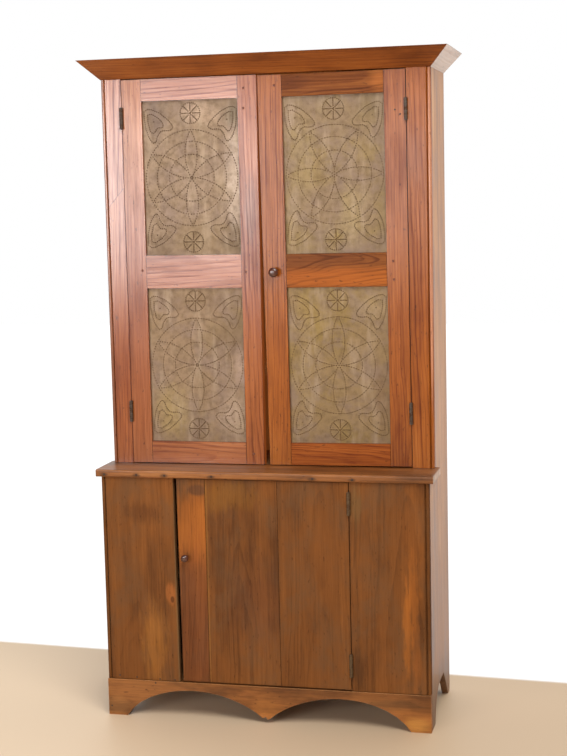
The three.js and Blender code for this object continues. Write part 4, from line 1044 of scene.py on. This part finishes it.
def bake_geometry(holder, name):
    """The evaluated object as a plain mesh object; the holder is removed."""
    depsgraph = bpy.context.evaluated_depsgraph_get()
    mesh = bpy.data.meshes.new_from_object(holder.evaluated_get(depsgraph))
    mesh.name = name
    # Only the finishes that a face uses keep their slot
    used = {face.material_index for face in mesh.polygons}
    kept = [number for number, material in enumerate(mesh.materials) if material and number in used]
    finishes = [mesh.materials[number] for number in kept]
    places = [kept.index(face.material_index) for face in mesh.polygons]
    mesh.materials.clear()
    for material in finishes:
        mesh.materials.append(material)
    mesh.polygons.foreach_set("material_index", places)
    bpy.data.objects.remove(holder)
    return add_object(name, mesh)


def grow(holder, tree, sockets, values, name):
    """Runs a geometry tree on an object, with its inputs set, and bakes what it makes."""
    modifier = holder.modifiers.new(tree.name, "NODES")
    modifier.node_group = tree
    for title, value in values.items():
        modifier[sockets[title]] = value
    return bake_geometry(holder, name)


def lines_object(lines):
    """Polylines in the plane of a sheet, as an object of loose edges."""
    points, edges, steps = [], [], []
    for step, line in lines:
        start = len(points)
        steps += [step] * len(line)
        points += [(x, 0.0, z) for x, z in line]
        edges += [(start + i, start + i + 1) for i in range(len(line) - 1)]
    mesh = bpy.data.meshes.new("lines")
    mesh.from_pydata(points, edges, [])
    mesh.attributes.new("punch_step", "FLOAT", "POINT").data.foreach_set("value", steps)
    return add_object("lines", mesh)


for number, (node_name, (body, sag, quarter_turn, *finish)) in enumerate(TINS.items()):
    low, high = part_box(node_name)
    span = high - low
    scale = math.cos(2 * sag)
    width = (span.x * math.cos(sag) - span.z * math.sin(sag)) / scale
    height = (span.z * math.cos(sag) - span.x * math.sin(sag)) / scale
    sight = (width - 2 * TIN_HIDDEN_EDGE, height - 2 * TIN_HIDDEN_EDGE)
    tin = grow(lines_object(pattern_lines(*sight, quarter_turn)), punched_tin_tree, tin_sockets, {
        "Width": width, "Height": height, "Seed": 1.7 * number,
        "Material": tin_material(f"tin_{node_name}", 2.3 * number, *finish)}, f"punched_{node_name}")
    tin.data.transform(Matrix.Translation((low + high) / 2) @ Matrix.Rotation(-sag, 4, "Y"))
    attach(tin, body)
    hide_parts(node_name)
    print(tin.name, "width", round(width, 4), "height", round(height, 4), "faces", len(tin.data.polygons))

# %% [markdown]
# ## Turned knobs
# A knob is turned from one piece of hardwood: a small collar against the door, a
# narrow neck and a mushroom head. Its outline is a smooth curve through a few radii,
# spun round the axis. The shank that passes through the door ends in the wooden turn.

# %% Knobs
KNOB_OUTLINE = [(0.60, 0.0), (0.62, 0.05), (0.58, 0.11), (0.42, 0.17), (0.35, 0.26), (0.36, 0.36),
                (0.50, 0.44), (0.76, 0.52), (0.95, 0.62), (1.0, 0.72), (0.96, 0.83), (0.80, 0.93),
                (0.52, 0.985), (0.2, 1.0)]
KNOB_TURNS = 48
KNOBS = {
    # knob: (body, the board it stands on)
    "right_door_knob": ("right_door_latch", "right_door_meeting_stile"),
    "lower_door_knob": ("lower_door_latch", "lower_door_board_left"),
}
SHANK_RADIUS, KNOB_GAP = 0.0045, 0.0003


def knob_material():
    material, shader, place = new_material("turned_knob")
    grain = noise(place, 1.0, 3.0, 0.6, (60.0, 60.0, 900.0))
    connect(blend_colour(remap(grain, 0.35, 0.65), tone(92, 48, 34), tone(58, 30, 22)), shader["Base Color"])
    connect(remap(grain, 0.3, 0.7, 0.22, 0.34), shader["Roughness"])
    shader["Coat Weight"].default_value = 0.5
    shader["Coat Roughness"].default_value = 0.15
    return material


def spin_outline(name, outline, turns):
    """A closed body of revolution about -y, from (radius, distance) pairs in metres."""
    work = bmesh.new()
    angles = [2 * math.pi * i / turns for i in range(turns)]
    rings = [[work.verts.new((radius * math.cos(angle), -distance, radius * math.sin(angle)))
              for angle in angles] for radius, distance in outline]
    for lower, upper in zip(rings, rings[1:]):
        for i in range(turns):
            j = (i + 1) % turns
            work.faces.new((lower[i], lower[j], upper[j], upper[i]))
    work.faces.new(list(reversed(rings[0])))
    work.faces.new(rings[-1])
    bmesh.ops.recalc_face_normals(work, faces=work.faces)
    mesh = bpy.data.meshes.new(name)
    work.to_mesh(mesh)
    work.free()
    return mesh


turned_wood = knob_material()
for node_name, (body, board) in KNOBS.items():
    low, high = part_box(node_name)
    radius = (high.x - low.x) / 2
    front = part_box(board)[0].y
    projection = front - low.y
    outline = [(SHANK_RADIUS, front - high.y), (SHANK_RADIUS, KNOB_GAP)]
    outline += [(radius * r, KNOB_GAP + (projection - KNOB_GAP) * h) for r, h in KNOB_OUTLINE]
    mesh = spin_outline(f"turned_{node_name}", outline, KNOB_TURNS)
    mesh.transform(Matrix.Translation(((low.x + high.x) / 2, front, (low.z + high.z) / 2)))
    mesh.shade_smooth()
    mesh.materials.append(turned_wood)
    knob = add_object(mesh.name, mesh)
    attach(knob, body)
    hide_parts(node_name)
    print(knob.name, "radius", round(radius, 4), "projection", round(projection, 4))

# %% [markdown]
# ## Pegs and nails
# A wooden peg is driven through each mortise and tenon that shows one, cut off, and
# planed nearly flush; it swells with the years and stands a hair proud. Nails hold the
# waist board, the boards and the skirt. They are all the same thing at different
# sizes: a shallow round head set into a surface. So one tree sets a head on each point
# it is given. The points carry what differs: the radius, the way the head faces, and
# whether it is iron.

# %% Geometry nodes: heads
def make_heads_tree():
    tree, given, result, sockets = geometry_tree("fastener_heads", [
        ("Rise", "Float", 0.16), ("Seed", "Int", 7),
        ("Wood", "Material", None), ("Iron", "Material", None),
    ])

    def carried(name, kind="FLOAT"):
        """What the points carry under a name."""
        return add_node(tree, "GeometryNodeInputNamedAttribute", {"Name": name}, "Attribute", data_type=kind)

    head = add_node(tree, "GeometryNodeMeshUVSphere", {"Segments": 12, "Rings": 6, "Radius": 1.0}, "Mesh")
    facing = add_node(tree, "FunctionNodeAlignRotationToVector", {
        "Vector": carried("facing", "FLOAT_VECTOR")}, axis="Z")
    # Each head is also spun about its own axis by a random angle
    spin = tree.nodes.new("FunctionNodeRandomValue")
    spin.data_type = "FLOAT"
    for socket in spin.inputs:
        if socket.name == "Max" and socket.type == "VALUE":
            socket.default_value = math.pi
    connect(given["Seed"], spin.inputs["Seed"])
    angle = Wire(next(socket for socket in spin.outputs if socket.type == "VALUE"))
    about = add_node(tree, "FunctionNodeAxisAngleToRotation", {"Axis": (0.0, 0.0, 1.0), "Angle": angle})
    turned = add_node(tree, "FunctionNodeRotateRotation", {0: facing, 1: about}, rotation_space="LOCAL")
    radius = carried("head_radius")
    set_out = add_node(tree, "GeometryNodeInstanceOnPoints", {
        "Points": given["Geometry"], "Instance": head, "Rotation": turned,
        "Scale": combine(radius, radius, radius * given["Rise"])})
    real = add_node(tree, "GeometryNodeRealizeInstances", {"Geometry": set_out})
    wooden = add_node(tree, "GeometryNodeSetMaterial", {"Geometry": real, "Material": given["Wood"]})
    iron = add_node(tree, "GeometryNodeSetMaterial", {
        "Geometry": wooden, "Material": given["Iron"],
        "Selection": calc("GREATER_THAN", carried("iron"), 0.5)})
    connect(iron, result["Geometry"])
    return tree, sockets


heads_tree, heads_sockets = make_heads_tree()
print("tree", heads_tree.name, "inputs:", ", ".join(heads_sockets))

# %% [markdown]
# ## Where the heads are
# The pegs pin the mortise and tenon joints of the two tin doors, so each one stands
# over a joint. The nails hold the waist board, the front boards and the skirt. Every
# row gives one head: its place, the way it faces, its radius, and whether it is iron
# (1) or wood (0). The rows of each body become one mesh, so they swing with their door.

# %% Where the heads are
PEG_RADIUS, NAIL_RADIUS, WAIST_NAIL_RADIUS = 0.0040, 0.0028, 0.0038
LOWER_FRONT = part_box("front_board_left")[0].y
SKIRT_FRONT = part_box("skirt")[0].y
WAIST_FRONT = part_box("waist_board")[0].y
WAIST_MIDDLE = (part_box("waist_board")[0].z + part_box("waist_board")[1].z) / 2
FORWARD = (0.0, -1.0, 0.0)


def heads_at(spots, y, radius, iron):
    """Rows for heads on an upright front surface: place, facing, radius, iron."""
    return [((x, y, z), FORWARD, radius, iron) for x, z in spots]


HEADS = {
    "left_door": heads_at([(-0.0577, 1.9699), (-0.0593, 1.9095), (-0.4018, 1.4137), (-0.0638, 1.4062),
                           (-0.0529, 0.8329)], DOOR_FRONT, PEG_RADIUS, 0.0),
    "right_door": heads_at([(0.0395, 1.974), (0.3999, 1.4348), (0.4019, 1.3786)], DOOR_FRONT, PEG_RADIUS, 0.0)
    + heads_at([(0.4113, 1.8883), (0.4274, 1.8747)], DOOR_FRONT, NAIL_RADIUS, 1.0),
    "case": heads_at([(x, WAIST_MIDDLE - 0.003) for x in (-0.5055, -0.3995, -0.3078, -0.1556, 0.164, 0.2877)],
                     WAIST_FRONT, WAIST_NAIL_RADIUS, 1.0)
    + heads_at([(-0.4807, 0.1298), (-0.4236, 0.1263), (-0.3467, 0.1238), (-0.2968, 0.1233)], LOWER_FRONT,
               NAIL_RADIUS, 1.0)
    + heads_at([(-0.3605, 0.1116), (-0.51, 0.0289)], SKIRT_FRONT, NAIL_RADIUS, 1.0),
}


def peg_material():
    material, shader, place = new_material("peg_end_grain")
    grain = noise(place, 400.0, 3.0, 0.6)
    connect(blend_colour(remap(grain, 0.35, 0.65), tone(128, 76, 50), tone(84, 48, 32)), shader["Base Color"])
    connect(remap(grain, 0.3, 0.7, 0.5, 0.7), shader["Roughness"])
    shader["Specular IOR Level"].default_value = 0.2
    return material


def heads_object(rows):
    """Loose points that carry what each head needs."""
    places, facings, radii, irons = zip(*rows)
    mesh = bpy.data.meshes.new("head_points")
    mesh.from_pydata(places, [], [])
    for name, values in (("head_radius", radii), ("iron", irons)):
        mesh.attributes.new(name, "FLOAT", "POINT").data.foreach_set("value", values)
    flat = [number for facing in facings for number in facing]
    mesh.attributes.new("facing", "FLOAT_VECTOR", "POINT").data.foreach_set("vector", flat)
    return add_object("head_points", mesh)


finishes = {"Wood": peg_material(),
            "Iron": iron_material("nail_iron", (46, 28, 16), (60, 34, 18), (74, 50, 34), 0.1)}
for body, rows in HEADS.items():
    heads = grow(heads_object(rows), heads_tree, heads_sockets, finishes, f"heads_{body}")
    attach(heads, body)
    "iron" if body == "case" else "pine_upper"
    print(heads.name, "heads", len(rows), "faces", len(heads.data.polygons))

# %% [markdown]
# ## Floor and light
# The floor is plain and pale, with painted shade that darkens it towards the right, and
# turns white behind the cupboard, so that no edge of it shows. Two soft lights stand in
# front, low and to the left, as windows would, and give the upper doors their sheen. A
# larger one hangs above on the right and lights the floor and the side. The world is
# white to the camera. As a light it is bright behind the cupboard and dim in front of
# it, which keeps the tins and the finish dark enough, and the shadows soft.

# %% Floor, lights and world
FLOOR_HALF = 14.0
FLOOR_END = (0.40, 0.43)  # from here to here behind the cupboard's middle the floor turns white
FLOOR_LEAN = 0.067  # and that end comes nearer by this for each metre to the right
WORLD_FRONT, WORLD_BEHIND = 0.12, 1.3
LAMPS = {
    # name: place, what it looks at, width, height, power, colour
    "window": ((-2.15, -5.0, 1.72), (-0.2, 0.0, 1.6), 2.0, 1.3, 98.0, (1.0, 0.97, 0.97)),
    "second_window": ((-0.5, -5.2, 1.8), (0.0, 0.0, 1.6), 1.3, 1.2, 28.0, (1.0, 0.96, 0.93)),
    "ceiling": ((1.6, -2.8, 4.4), (0.0, 0.0, 0.3), 2.6, 2.6, 205.0, (1.0, 0.97, 0.93)),
}


def make_floor():
    """A plain pale floor with painted shade that darkens it towards the right. It fades to white behind the
    cupboard.
    """
    mesh = bpy.data.meshes.new("floor")
    corners = [(x * FLOOR_HALF, y * FLOOR_HALF, 0) for x, y in ((-1, -1), (1, -1), (1, 1), (-1, 1))]
    mesh.from_pydata(corners, [], [(0, 1, 2, 3)])
    floor = add_object("floor", mesh)
    material, shader, place = new_material("pale_floor")
    x, y, _ = split(place)
    back = remap(x * FLOOR_LEAN + y, *FLOOR_END)
    # Painted shade: the floor's colour darkens towards the right.
    pale = blend_colour(remap(x, -0.6, 1.0), tone(222, 199, 170), tone(192, 168, 139))
    connect(blend_colour(back, pale, tone(0, 0, 0)), shader["Base Color"])
    shader["Roughness"].default_value = 0.5
    shader["Specular IOR Level"].default_value = 0.3
    connect(blend_colour(back, tone(0, 0, 0), tone(255, 255, 255)), shader["Emission Color"])
    shader["Emission Strength"].default_value = 1.0
    mesh.materials.append(material)


def area_light(name, place, target, width, height, power, colour):
    lamp = bpy.data.lights.new(name, "AREA")
    lamp.shape = "RECTANGLE"
    lamp.size, lamp.size_y, lamp.energy, lamp.color = width, height, power, colour
    aim = (Vector(target) - Vector(place)).to_track_quat("-Z", "Y")
    add_object(name, lamp).matrix_world = Matrix.Translation(place) @ aim.to_matrix().to_4x4()


def make_world():
    """White to the camera; as a light, bright behind the cupboard and dim in front."""
    world = bpy.data.worlds.new("studio")
    world.use_nodes = True
    tree = world.node_tree
    tree.nodes.clear()
    behind = split(add_node(tree, "ShaderNodeTexCoord", output="Generated"))[1]
    strength = remap(behind, -0.3, 0.7, WORLD_FRONT, WORLD_BEHIND)
    seen = add_node(tree, "ShaderNodeBackground", {"Color": (1.0, 1.0, 1.0, 1.0), "Strength": 1.0})
    lit = add_node(tree, "ShaderNodeBackground", {"Color": (1.0, 0.975, 0.94, 1.0), "Strength": strength})
    to_camera = add_node(tree, "ShaderNodeLightPath", output="Is Camera Ray")
    mixed = add_node(tree, "ShaderNodeMixShader", {0: to_camera, 1: lit, 2: seen})
    connect(mixed, tree.nodes.new("ShaderNodeOutputWorld").inputs["Surface"])
    scene.world = world


make_floor()
for name, row in LAMPS.items():
    area_light(name, *row)
make_world()
scene.view_settings.view_transform = "Standard"
print("view:", scene.view_settings.view_transform)
